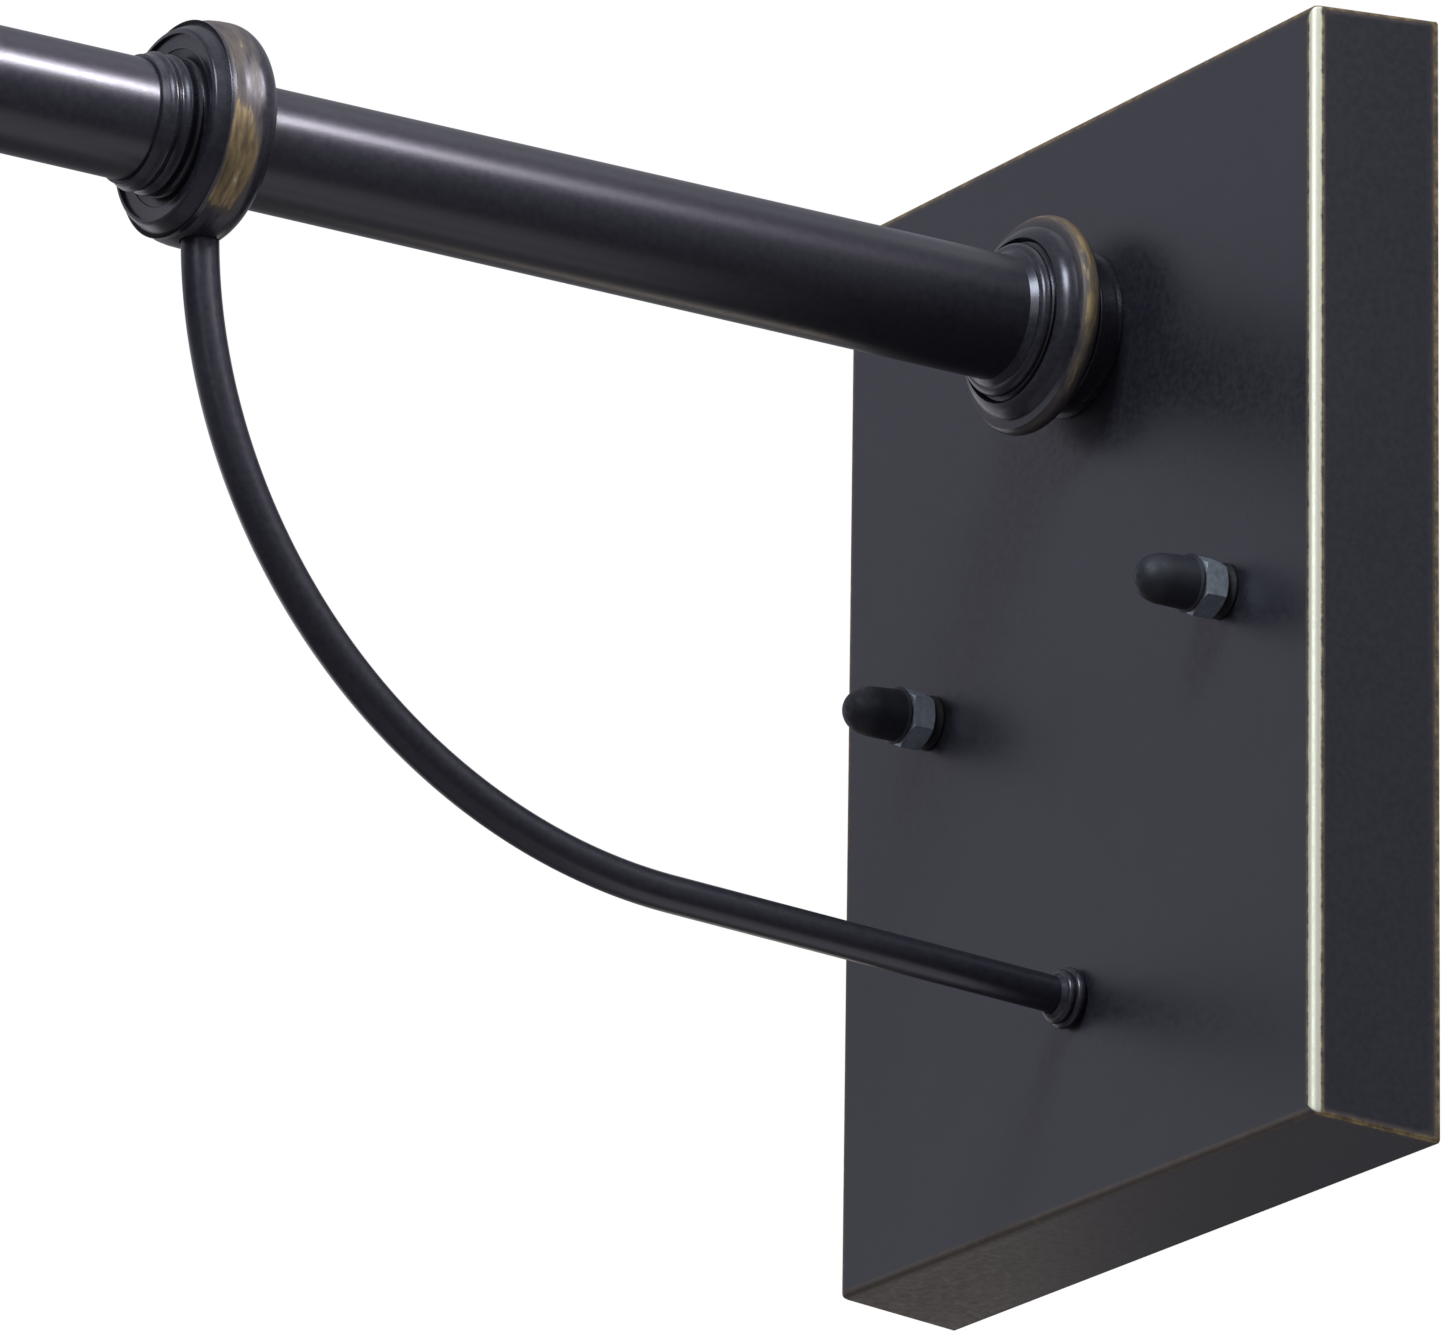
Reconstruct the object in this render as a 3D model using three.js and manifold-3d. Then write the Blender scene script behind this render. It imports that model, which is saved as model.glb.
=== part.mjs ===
// Picture light: a wall plate carries a straight tubular arm, a curved rod braces the arm from
// below, and a two-lamp shade tilts on a swivel at the arm's far end.
// Millimetres. X runs across the plate, Y runs into the wall and Z is up. The origin is the middle
// of the crossbar's back face, which lies on the wall, so everything stands out towards -Y.
import * as THREE from "three";
import { mergeVertices } from "three/addons/utils/BufferGeometryUtils.js";
import Module from "manifold-3d";

const wasm = await Module();
wasm.setup();

// ---------------------------------------------------------------- driving dimensions

const GAP = 0.3; // left between pieces that touch
const FINE = 24; // sides of a large round piece
const COARSE = 16; // sides of a small round piece

const PLATE = { width: 133, height: 182, depth: 23, sheet: 1.5, flare: 1.5 };
const CROSSBAR = { length: 110, height: 18, thickness: 2.5, corner: 3 };
const SLOT = { centre: 30.95, length: 13.5, width: 5 };
const STUD = { pitch: 83.3, radius: 2.08, reach: 12.5 };
const NUT = { flats: 8.73, height: 3.2 };
const OUTER_NUT = { flats: 8.73, height: 4.4 };
const CAP = { radius: 4.4, length: 9.9, bore: 7.4 };
const STUD_WASHER = { radius: 4.2, thickness: 1.2 };
const GROUND_SCREW = { x: -16, flats: 8, head: 3.2, shank: 1.6 };

const ARM = { z: 54.6, radius: 9.5, wall: 1.2, reach: 245 };
const NIPPLE = { radius: 5, bore: 3.6, front: 7, back: 7 };
const LOCK_NUT = { flats: 16, height: 4 };
const WASHER = { thickness: 1, arm: 9, brace: 5.5 };
const FLANGE = { height: 15, socket: 5 };

const COLLAR = { distance: 164.2, radius: 17.9, thickness: 11 };
const ROD = { radius: 3, bend: 92.9, centreOut: 70.4, centreZ: 40.1, slope: THREE.MathUtils.degToRad(3.1) };
const FERRULE = { height: 4, radius: 5, socket: 2.4, stem: 2.2 };

const LEAD = { radius: 1, sides: 8, steps: 36, apart: 1.7, drumX: 2.4, drumPitch: 2.8 };
const CONNECTOR = { radius: 5, length: 20, x: 24, top: 41 };

const SWIVEL = {
  drum: 11, half: 8.5, wall: 2, cavity: 8, web: 8.4, washer: 0.5, shoulderFrom: 11.8, shoulderTo: 15,
  armStem: 12, armBore: 5.2, seat: 6, headStem: 12.6,
};
const PIVOT_SCREW = { head: 5, headHeight: 2.6, radius: 2, spare: 5 };
const PIVOT_NUT = { flats: 8.7, height: 7, washer: 4.6 };
const SHADE = { radius: 38, sheet: 1.2, length: 352.4, lip: 1.8, mouth: THREE.MathUtils.degToRad(25) };
const END_CAP = { radius: 38.6, thickness: 1.5, flange: 6 };
const REFLECTOR = { radius: 30, sheet: 0.8, length: 270, start: THREE.MathUtils.degToRad(18) };
const SHADE_NUT = { flats: 13, height: 2.6, washer: 7.6 };
const STANDOFF = { x: 60, radius: 3, bore: 1.6 };
const REFLECTOR_SCREW = { head: 3.2, headHeight: 1.6, radius: 1.2, length: 4.5 };
const HOLDER = { radius: 17, bore: 13.9, length: 34.7, rear: 8.7, inset: 0.5 };
const HOLDER_SCREW = { head: 4, headHeight: 2, radius: 2, length: 8 };
const LAMP = { radius: 16, neck: 12.2, wall: 0.8, z: 6, tip: 28, baseDepth: 14, baseGap: 0.6 };

// places worked out from them
const FRONT_Y = -PLATE.depth; // the plate's front face
const INSIDE_Y = FRONT_Y + PLATE.sheet; // the same wall seen from inside the plate
const STUD_X = STUD.pitch / 2;
const PIVOT_Y = FRONT_Y - ARM.reach; // the swivel's axis
const COLLAR_Y = FRONT_Y - COLLAR.distance;
const BEND_Y = FRONT_Y - ROD.centreOut; // centre of the rod's bend
const SHADE_BACK = SWIVEL.shoulderTo + SWIVEL.seat; // pivot to the back of the shade
const SHADE_Y = -(SHADE_BACK + SHADE.radius); // the shade's axis, measured from the pivot
const SHADE_END = SHADE.length / 2;
const CAP_INNER_X = SHADE_END + GAP; // inner face of an end cap

// the rod leaves its bend on a straight line that falls gently towards the plate
const TANGENT_Y = BEND_Y - ROD.bend * Math.sin(ROD.slope);
const TANGENT_Z = ROD.centreZ - ROD.bend * Math.cos(ROD.slope);
const rodHeight = (y) => TANGENT_Z - (y - TANGENT_Y) * Math.tan(ROD.slope);
const FERRULE_Z = rodHeight(FRONT_Y);

// ---------------------------------------------------------------- materials

const finish = (color, roughness, metalness) =>
  new THREE.MeshStandardMaterial({ color, roughness, metalness });

const MATERIALS = {
  bronze: finish(0x39383c, 0.42, 0.85),
  zinc: finish(0x8d979d, 0.35, 0.9),
  steel: finish(0x9a9a98, 0.4, 0.9),
  brass: finish(0xb89a5a, 0.35, 0.95),
  rubber: finish(0x141416, 0.75, 0),
  green: finish(0x2f7a44, 0.5, 0.3),
  fibre: finish(0x5a4a3a, 0.8, 0),
  aluminium: finish(0xd8dadc, 0.3, 0.9),
  porcelain: finish(0xe9e6dd, 0.35, 0),
  blackLead: finish(0x18181a, 0.55, 0),
  whiteLead: finish(0xe4e2dc, 0.55, 0),
  connector: finish(0xd98b2b, 0.5, 0),
  glass: finish(0xf4f2ea, 0.1, 0),
};

// ---------------------------------------------------------------- geometry helpers

// Shares corners, drops collapsed triangles and turns every face outwards.
function closed(source) {
  const bare = source.index ? source.toNonIndexed() : source.clone();
  bare.deleteAttribute("normal");
  bare.deleteAttribute("uv");
  const merged = mergeVertices(bare, 1e-4);
  const kept = [];
  const { array } = merged.index;
  for (let i = 0; i < array.length; i += 3) {
    const [a, b, c] = [array[i], array[i + 1], array[i + 2]];
    if (a !== b && b !== c && c !== a) kept.push(a, b, c);
  }
  if (signedVolume(merged, kept) < 0) kept.reverse();
  merged.setIndex(kept);
  return merged;
}

function signedVolume(geometry, index) {
  const corner = [new THREE.Vector3(), new THREE.Vector3(), new THREE.Vector3()];
  let total = 0;
  for (let i = 0; i < index.length; i += 3) {
    corner.forEach((point, k) => point.fromBufferAttribute(geometry.attributes.position, index[i + k]));
    total += corner[0].dot(corner[1].clone().cross(corner[2]));
  }
  return total / 6;
}

function toSolid(geometry) {
  const shape = closed(geometry);
  return new wasm.Manifold(new wasm.Mesh({
    numProp: 3,
    vertProperties: Float32Array.from(shape.attributes.position.array),
    triVerts: Uint32Array.from(shape.index.array),
  }));
}

function toGeometry(solid) {
  const mesh = solid.getMesh();
  const geometry = new THREE.BufferGeometry();
  geometry.setAttribute("position", new THREE.BufferAttribute(Float32Array.from(mesh.vertProperties), 3));
  geometry.setIndex([...mesh.triVerts]);
  return geometry;
}

const joined = (first, ...others) =>
  toGeometry(others.reduce((solid, other) => solid.add(toSolid(other)), toSolid(first)));

const cut = (first, ...tools) =>
  toGeometry(tools.reduce((solid, tool) => solid.subtract(toSolid(tool)), toSolid(first)));

const common = (first, second) => toGeometry(toSolid(first).intersect(toSolid(second)));

const points = (list) => list.map(([x, y]) => new THREE.Vector2(x, y));

// A turned piece about the Y axis: [radius, y] points that end on the axis or close on themselves.
const turned = (profile, sides = FINE) => new THREE.LatheGeometry(points(profile), sides);

// A turned ring or tube with a square section.
const ring = (inner, outer, from, to, sides = COARSE) =>
  turned([[inner, from], [outer, from], [outer, to], [inner, to], [inner, from]], sides);

// A round bar along Y.
const bar = (radius, from, to, sides = COARSE) =>
  new THREE.CylinderGeometry(radius, radius, Math.abs(to - from), sides).translate(0, (from + to) / 2, 0);

// Turns a piece made about Y so that its +Y points along +X or -X.
const alongX = (geometry, side = 1) => geometry.rotateZ((-side * Math.PI) / 2);

const block = (x0, x1, y0, y1, z0, z1) =>
  new THREE.BoxGeometry(x1 - x0, y1 - y0, z1 - z0).translate((x0 + x1) / 2, (y0 + y1) / 2, (z0 + z1) / 2);

// An arc as [x, y] points, both ends included.
function arc(x, y, radius, start, end, steps) {
  return Array.from({ length: steps + 1 }, (_, i) => {
    const angle = start + ((end - start) * i) / steps;
    return [x + radius * Math.cos(angle), y + radius * Math.sin(angle)];
  });
}

// A plate drawn in X and Z that is `thickness` thick along Y, with its front face at y = 0.
function pressed(shape, thickness) {
  const options = { depth: thickness, bevelEnabled: false, curveSegments: 6 };
  const geometry = new THREE.ExtrudeGeometry(shape, options);
  return geometry.rotateX(Math.PI / 2).translate(0, thickness, 0);
}

// A section drawn in Y and Z, extruded along X and centred on x = 0.
function extrudedAlongX(shape, length) {
  const geometry = new THREE.ExtrudeGeometry(shape, { depth: length, bevelEnabled: false });
  const basis = new THREE.Matrix4().makeBasis(
    new THREE.Vector3(0, 1, 0), new THREE.Vector3(0, 0, 1), new THREE.Vector3(1, 0, 0));
  return geometry.applyMatrix4(basis).translate(-length / 2, 0, 0);
}

const circle = (x, y, radius) => new THREE.Path().absarc(x, y, radius, 0, Math.PI * 2, true);

function roundedRectangle(width, height, radius) {
  const [w, h] = [width / 2 - radius, height / 2 - radius];
  const shape = new THREE.Shape();
  shape.absarc(w, h, radius, 0, Math.PI / 2);
  shape.absarc(-w, h, radius, Math.PI / 2, Math.PI);
  shape.absarc(-w, -h, radius, Math.PI, Math.PI * 1.5);
  shape.absarc(w, -h, radius, Math.PI * 1.5, Math.PI * 2);
  return shape;
}

function hexagon(flats) {
  const corner = flats / Math.sqrt(3);
  return new THREE.Shape(points(arc(0, 0, corner, 0, (Math.PI * 5) / 3, 5)));
}

// A hexagon nut whose front face is at y = 0.
function hexNut(flats, height, boreRadius) {
  const shape = hexagon(flats);
  shape.holes.push(circle(0, 0, boreRadius));
  return pressed(shape, height);
}

// A bar of round section that follows a path.
function swept(path, radius, sides, steps) {
  const lastCorner = (Math.PI * 2 * (sides - 1)) / sides;
  const section = new THREE.Shape(points(arc(0, 0, radius, 0, lastCorner, sides - 1)));
  return new THREE.ExtrudeGeometry(section, { steps, bevelEnabled: false, extrudePath: path });
}

// A smooth path through the given [x, y, z] points.
const smooth = (list) =>
  new THREE.CatmullRomCurve3(list.map(([x, y, z]) => new THREE.Vector3(x, y, z)), false, "centripetal");

// ---------------------------------------------------------------- wall plate and its fixings

// A box whose front and back faces differ in size, between two Y positions.
function taperedBox(frontWidth, frontHeight, backWidth, backHeight, frontY, backY) {
  const geometry = new THREE.BoxGeometry(1, 1, 1);
  const { position } = geometry.attributes;
  for (let i = 0; i < position.count; i += 1) {
    const back = position.getY(i) > 0;
    position.setXYZ(
      i,
      position.getX(i) * (back ? backWidth : frontWidth),
      back ? backY : frontY,
      position.getZ(i) * (back ? backHeight : frontHeight),
    );
  }
  return geometry;
}

const plateHole = (radius, x, z) => bar(radius, FRONT_Y - 1, INSIDE_Y + 1).translate(x, 0, z);

// An open-backed pan of pressed sheet whose four sides flare a little towards the wall.
function backplate() {
  const { width, height, depth, sheet, flare } = PLATE;
  const outer = taperedBox(width, height, width + 2 * flare, height + 2 * flare, FRONT_Y, 0);
  const perMm = flare / depth;
  const hollow = (y) => 2 * (perMm * (y - FRONT_Y) - sheet);
  const [front, back] = [hollow(INSIDE_Y), hollow(1)];
  const inner = taperedBox(width + front, height + front, width + back, height + back, INSIDE_Y, 1);
  return cut(
    outer,
    inner,
    plateHole(NIPPLE.radius + GAP, 0, ARM.z),
    plateHole(FERRULE.stem + GAP, 0, FERRULE_Z),
    plateHole(STUD.radius + GAP, STUD_X, 0),
    plateHole(STUD.radius + GAP, -STUD_X, 0),
  );
}

function slotHole(x) {
  const half = (SLOT.length - SLOT.width) / 2;
  const radius = SLOT.width / 2;
  const hole = new THREE.Path();
  hole.absarc(x + half, 0, radius, Math.PI / 2, -Math.PI / 2, true);
  hole.absarc(x - half, 0, radius, -Math.PI / 2, -Math.PI * 1.5, true);
  return hole;
}

// The steel bar that is screwed to the junction box; the two studs and the earth screw are in it.
function crossbar() {
  const shape = roundedRectangle(CROSSBAR.length, CROSSBAR.height, CROSSBAR.corner);
  for (const side of [-1, 1]) {
    shape.holes.push(slotHole(side * SLOT.centre));
    shape.holes.push(circle(side * STUD_X, 0, STUD.radius + GAP));
  }
  shape.holes.push(circle(GROUND_SCREW.x, 0, GROUND_SCREW.shank + GAP));
  return pressed(shape, CROSSBAR.thickness);
}

// A threaded stud with chamfered ends, from the wall to `reach` beyond the plate.
function stud() {
  const [tip, tail] = [FRONT_Y - STUD.reach, -GAP];
  const { radius } = STUD;
  const chamfer = 0.5;
  return turned([
    [0, tip], [radius - chamfer, tip], [radius, tip + chamfer],
    [radius, tail - chamfer], [radius - chamfer, tail], [0, tail],
  ], COARSE);
}

// A soft cap pushed over the stud: a straight skirt, a domed end and a blind bore.
function rubberCap() {
  const { radius, length, bore } = CAP;
  const boreRadius = STUD.radius + GAP;
  const dome = radius * 0.95;
  const domed = arc(0, 0, 1, 0, Math.PI / 2, 5).map(([r, y]) => [r * radius, -(length - dome) - y * dome]);
  return turned([[0, -bore], [boreRadius, -bore], [boreRadius, 0], [radius, 0], ...domed], COARSE);
}

// A machine screw: its hexagon head stands in front of y = 0 and its shank runs back to `length`.
function hexScrew(flats, head, shankRadius, length) {
  const hex = pressed(hexagon(flats), head).translate(0, -head, 0);
  return joined(hex, bar(shankRadius, -head / 2, length));
}

// ---------------------------------------------------------------- arm

// The turned rosette at the plate: foot, proud rim, shoulder bead and neck, socketed for the arm.
// Distances are measured out from the plate.
function armFlange() {
  const socketRadius = ARM.radius + GAP;
  const outline = [
    [NIPPLE.radius + GAP, GAP],
    [12.8, GAP], [13, 4.2], [12.4, 5.2], [14.6, 6.4],
    ...arc(15.9, 8.6, 2.1, -Math.PI / 2, Math.PI * 0.42, 4),
    ...arc(13.9, 11.2, 1.7, -0.1, Math.PI * 0.6, 3),
    [11.6, 12.7],
    ...arc(10.5, 13.6, 0.9, -0.3, Math.PI * 0.5, 2),
    [socketRadius, FLANGE.height],
    [socketRadius, FLANGE.socket],
    [NIPPLE.radius + GAP, FLANGE.socket],
    [NIPPLE.radius + GAP, GAP],
  ];
  return turned(outline.map(([r, out]) => [r, -out]), FINE);
}

const armTube = () => {
  const from = FRONT_Y - FLANGE.socket - GAP;
  const to = PIVOT_Y + SWIVEL.shoulderTo + GAP;
  return ring(ARM.radius - ARM.wall, ARM.radius, to, from, FINE);
};

// The hollow threaded nipple that clamps the flange to the plate and lets the leads through.
const armNipple = () => ring(NIPPLE.bore, NIPPLE.radius, FRONT_Y - NIPPLE.front, INSIDE_Y + NIPPLE.back, 24);

// ---------------------------------------------------------------- brace

// The turned collar on the arm: a thick rounded disc with a beaded neck on its outer side, and a
// radial socket underneath for the brace rod.
function braceCollar() {
  const bore = ARM.radius + GAP;
  const half = COLLAR.thickness / 2;
  const round = 4;
  const outline = [
    [bore, half],
    ...arc(COLLAR.radius - round, half - round, round, Math.PI / 2, 0, 4),
    [COLLAR.radius - 0.2, -half + 3],
    [COLLAR.radius - 0.9, -half + 1.5],
    [COLLAR.radius - 2.6, -half],
    [12.4, -half + 0.8],
    ...arc(11, -half - 0.9, 1.1, 0.9, -Math.PI / 2, 3),
    [10.4, -half - 3],
    ...arc(10.5, -half - 4.5, 1, 0.9, -Math.PI / 2, 3),
    [bore, -half - 5.8],
    [bore, half],
  ];
  const socket = bar(ROD.radius + GAP, 0, COLLAR.radius + 2).rotateX(-Math.PI / 2);
  const socketTop = ROD.centreZ + GAP - ARM.z;
  socket.translate(0, BEND_Y - ROD.bend - COLLAR_Y, socketTop);
  return cut(turned(outline), socket);
}

// The rod's centre line: a bend that starts upright in the collar, then the straight to the plate.
class BracePath extends THREE.Curve {
  constructor() {
    super();
    this.turn = Math.PI / 2 - ROD.slope;
    this.end = new THREE.Vector3(0, FRONT_Y - FERRULE.height + FERRULE.socket, 0);
    this.end.z = rodHeight(this.end.y);
    this.start = new THREE.Vector3(0, TANGENT_Y, TANGENT_Z);
    this.bendShare = this.turn * ROD.bend / (this.turn * ROD.bend + this.start.distanceTo(this.end));
  }

  getPoint(t, target = new THREE.Vector3()) {
    if (t > this.bendShare) {
      return target.lerpVectors(this.start, this.end, (t - this.bendShare) / (1 - this.bendShare));
    }
    const angle = Math.PI + (this.turn * t) / this.bendShare;
    return target.set(0, BEND_Y + ROD.bend * Math.cos(angle), ROD.centreZ + ROD.bend * Math.sin(angle));
  }
}

const braceRod = () => swept(new BracePath(), ROD.radius, 14, 28);

// The double-beaded ferrule that takes the rod's end, with a threaded stem through the plate.
function braceFerrule() {
  const { height, radius, socket, stem } = FERRULE;
  const bore = ROD.radius + GAP + 0.1;
  const tail = PLATE.sheet + 7;
  const outline = [
    [0, tail], [stem, tail], [stem, -GAP],
    ...arc(radius - 1, -1.3, 1, Math.PI / 2, -Math.PI / 2, 4),
    ...arc(radius - 1.25, -3.15, 0.85, Math.PI / 2, -Math.PI / 2, 4),
    [bore, -height], [bore, -height + socket + GAP], [0, -height + socket + GAP],
  ];
  return turned(outline, COARSE);
}

// ---------------------------------------------------------------- leads and connectors

// A twist-on connector with its mouth at the top.
function wireConnector() {
  const { radius, length } = CONNECTOR;
  const mouth = LEAD.radius + 0.6;
  const profile = [
    [0, -8], [mouth, -8], [mouth, 0], [radius, 0], [radius, -5],
    [radius - 1.6, -length + 1.5], [radius - 2.6, -length], [0, -length],
  ];
  return turned(profile, 16).rotateX(Math.PI / 2);
}

// Where a lead lies across and above the arm's axis, and its height inside the swivel's drum. The
// three lie in a triangle in the arm, and one above another in the drum.
const leadSpot = (angle, drumPlace) => ({
  x: LEAD.apart * Math.cos(angle),
  z: LEAD.apart * Math.sin(angle),
  drumZ: LEAD.drumPitch * drumPlace,
});
const LEAD_SPOTS = {
  live: leadSpot((-2 * Math.PI) / 3, -1),
  neutral: leadSpot(0, 0),
  ground: leadSpot((2 * Math.PI) / 3, 1),
};

// The part of a lead that the arm holds: out of the drum, along the bore and through the nipple.
function armLeadRun({ x, z, drumZ }) {
  const inDrum = [3.4, SWIVEL.shoulderFrom].map((y) => [-LEAD.drumX, PIVOT_Y + y, ARM.z + drumZ]);
  const inBore = [PIVOT_Y + 24, PIVOT_Y + 60, FRONT_Y - 60, FRONT_Y - NIPPLE.front - 1];
  const inArm = [...inBore, INSIDE_Y + NIPPLE.back].map((y) => [x, y, ARM.z + z]);
  return [...inDrum, ...inArm];
}

// A supply lead: along the arm, out of the nipple, and down into its connector.
function supplyLead(spot, side) {
  const path = smooth([
    ...armLeadRun(spot),
    [spot.x + side * 3, -11, ARM.z + spot.z + 0.5],
    [side * CONNECTOR.x * 0.6, -9, ARM.z - 1],
    [side * CONNECTOR.x, -10.5, ARM.z - 6],
    [side * CONNECTOR.x, -11, CONNECTOR.top],
    [side * CONNECTOR.x, -11, CONNECTOR.top - 6],
  ]);
  return swept(path, LEAD.radius, LEAD.sides, LEAD.steps);
}

// The earth lead: along the arm, then down the inside of the plate to the earth screw.
function groundLead() {
  const path = smooth([
    ...armLeadRun(LEAD_SPOTS.ground),
    [0, -11, ARM.z + 0.6],
    [0, -8, ARM.z - 8],
    [-2, -8, 30],
    [GROUND_SCREW.x + 1, -7, 18],
    [GROUND_SCREW.x, -5, 10],
    [GROUND_SCREW.x, -4.3, GROUND_SCREW.flats / Math.sqrt(3) + 1],
  ]);
  return swept(path, LEAD.radius, LEAD.sides, LEAD.steps);
}

// ---------------------------------------------------------------- swivel

// One half of the swivel, about the pivot: a hollow drum on the side of negative X, carried by a
// web and a round shoulder towards +Y, with a bored stem behind the shoulder.
function swivelHalf(stemRadius, stemBore, stemLength) {
  const { drum, half, wall, cavity, web, shoulderFrom, shoulderTo, washer } = SWIVEL;
  const face = -(washer + GAP);
  const body = joined(
    alongX(bar(drum, -half, face, FINE)),
    block(-half, face, 0, shoulderFrom + 0.5, -web, web),
    bar(ARM.radius, shoulderFrom, shoulderTo, FINE),
    bar(stemRadius, shoulderTo - 1, shoulderTo + stemLength, FINE),
  );
  return cut(
    body,
    alongX(bar(cavity, -half + wall, face + 1, FINE)),
    alongX(bar(PIVOT_SCREW.radius + GAP, -half - 1, 0)),
    bar(stemBore, cavity - 3, shoulderTo + stemLength + 1),
  );
}

// A screw with a domed head that sits on y = 0 and a shank that reaches down to -length.
function domeScrew({ head, headHeight, radius }, length) {
  const dome = arc(0, 0, 1, 0, Math.PI / 2, 4).map(([r, y]) => [r * head, y * headHeight]).reverse();
  return turned([...dome, [radius, 0], [radius, -length], [0, -length]], COARSE);
}

// A cap nut: a hexagon with a domed end and a blind bore.
function acornNut(flats, height, boreRadius) {
  const base = pressed(hexagon(flats), height * 0.5).translate(0, -height * 0.5, 0);
  const radius = flats * 0.46;
  const dome = arc(0, 0, 1, 0, Math.PI / 2, 5)
    .map(([r, y]) => [r * radius, -height * 0.4 - y * height * 0.6]);
  const body = joined(base, turned([[0, -0.2], [radius, -0.2], ...dome], 24));
  return cut(body, bar(boreRadius, -height * 0.7, 1));
}

// ---------------------------------------------------------------- shade and what it holds

// The section of a curved sheet of the given outer radius: an arch from `start` below or above the
// horizontal on the wall side, over the top, to the same place on the room side.
function archSection(radius, sheet, start) {
  const outer = arc(0, 0, radius, start, Math.PI - start, 28);
  const inner = arc(0, 0, radius - sheet, Math.PI - start, start, 28);
  return new THREE.Shape(points([...outer, ...inner]));
}

// The shade: an arched sheet with a rolled lip along both edges and a hole for the swivel's stem.
function shadeShell() {
  const { radius, sheet, length, lip, mouth } = SHADE;
  const lipAt = radius - sheet / 2;
  const rolled = [0, Math.PI].map((turn) => {
    const angle = turn === 0 ? -mouth : Math.PI + mouth;
    const roll = alongX(bar(lip, -length / 2, length / 2, 14));
    return roll.translate(0, lipAt * Math.cos(angle), lipAt * Math.sin(angle));
  });
  const arch = extrudedAlongX(archSection(radius, sheet, -mouth), length);
  return cut(joined(arch, ...rolled), bar(NIPPLE.radius + GAP, radius - 5, radius + 5));
}

// An end cap: a flat disc cut off below the shade's mouth, with a short flange inside the shade.
function endCap() {
  const { radius, thickness, flange } = END_CAP;
  const inside = SHADE.radius - SHADE.sheet - GAP;
  const chord = -(SHADE.radius * Math.sin(SHADE.mouth) + SHADE.lip + GAP);
  const disc = alongX(turned([
    [0, 0], [radius, 0], [radius, thickness - 0.6], [radius - 0.6, thickness], [0, thickness],
  ], 48));
  const skirt = alongX(ring(inside - 1, inside, -flange, thickness / 2, 48));
  const above = (z) => block(-20, 20, -60, 60, z, 60);
  const body = joined(common(disc, above(chord)), common(skirt, above(chord + 7)));
  return cut(body, alongX(bar(HOLDER_SCREW.radius + GAP, -1, thickness + 1)).translate(0, 0, LAMP.z));
}

// The bright liner over the lamps, with two holes in its crown for its screws.
function reflector() {
  const { radius, sheet, length, start } = REFLECTOR;
  const arch = extrudedAlongX(archSection(radius, sheet, start), length);
  const holes = [-1, 1].map((side) =>
    bar(STANDOFF.bore, radius - 5, radius + 5).rotateX(Math.PI / 2).translate(side * STANDOFF.x, 0, 0));
  return cut(arch, ...holes);
}

// The seat between the swivel's shoulder and the curved back of the shade.
function shadeSeat() {
  const puck = ring(NIPPLE.radius + GAP, 9, -(SHADE_BACK + 3), -(SWIVEL.shoulderTo + GAP), 24);
  const curve = alongX(bar(SHADE.radius + GAP, -20, 20, 72)).translate(0, SHADE_Y, 0);
  return cut(puck, curve);
}

// A lamp holder about Y, with its back at y = 0 and its mouth towards -Y.
function lampHolder() {
  const { radius, bore, length, rear } = HOLDER;
  const screwHole = HOLDER_SCREW.radius + GAP;
  return turned([
    [0, -6], [screwHole, -6], [screwHole, 0], [radius - 4, 0], [radius, -4], [radius, -length + 3],
    [radius - 0.8, -length], [bore, -length], [bore, -rear], [0, -rear],
  ]);
}

// The lamp's screw base, from its centre contact at y = 0 to its open end.
const lampBase = () => turned([
  [0, 0], [4.5, 0.6], [8, -2], [13.2, -4.5], [13.2, -23], [12.6, -23], [12.6, -7], [0, -7],
].map(([r, y]) => [r, y - 0.7]));

// The lamp's glass: a thin tubular bulb with a round end, open where it enters the base.
function lampGlass(length) {
  const { radius, neck, wall } = LAMP;
  const wallPath = (inset) => [
    [neck - inset, 0], [neck - inset, -14], [radius - inset, -24],
    ...arc(0, -length + radius, radius - inset, 0, -Math.PI * 0.5, 5),
  ];
  return turned([...wallPath(0), ...wallPath(wall).reverse(), [neck, 0]]);
}

// A lead inside the shade, from the swivel's drum to the back of one lamp holder.
function headLead(side) {
  const shadeY = (angle, radius = 33.4) => SHADE_Y + radius * Math.cos(angle);
  const path = smooth([
    [1.9, -3.6, side * 1.2],
    [1.9, -SWIVEL.shoulderFrom, side * 1.2],
    [side * 1.6, -(SWIVEL.shoulderTo + 4), side * 0.6],
    [side * 1.6, -(SHADE_BACK + 6), side * 0.6],
    [side * 4, -(SHADE_BACK + 9.5), 1.5],
    [side * 11, -(SHADE_BACK + 7.1), 8],
    [side * 22, shadeY(0.44), 14.2],
    [side * 60, shadeY(0.44), 14.2],
    [side * 130, shadeY(0.44), 14.2],
    [side * 146, shadeY(0.44), 14.2],
    [side * 152, SHADE_Y + 25, 12.5],
    [side * 152, SHADE_Y + HOLDER.radius + 1.2, 9.8],
  ]);
  return swept(path, LEAD.radius, LEAD.sides, LEAD.steps);
}

// ---------------------------------------------------------------- assembly

const light = new THREE.Group();
const fixed = new THREE.Group();
const head = new THREE.Group();
head.position.set(0, PIVOT_Y, ARM.z);
light.add(fixed, head);

function add(group, name, geometry, material, position = [0, 0, 0]) {
  const mesh = new THREE.Mesh(closed(geometry), material);
  mesh.name = name;
  mesh.position.set(...position);
  group.add(mesh);
  return mesh;
}

const SIDES = [["left", -1], ["right", 1]];
const M = MATERIALS;

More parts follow.
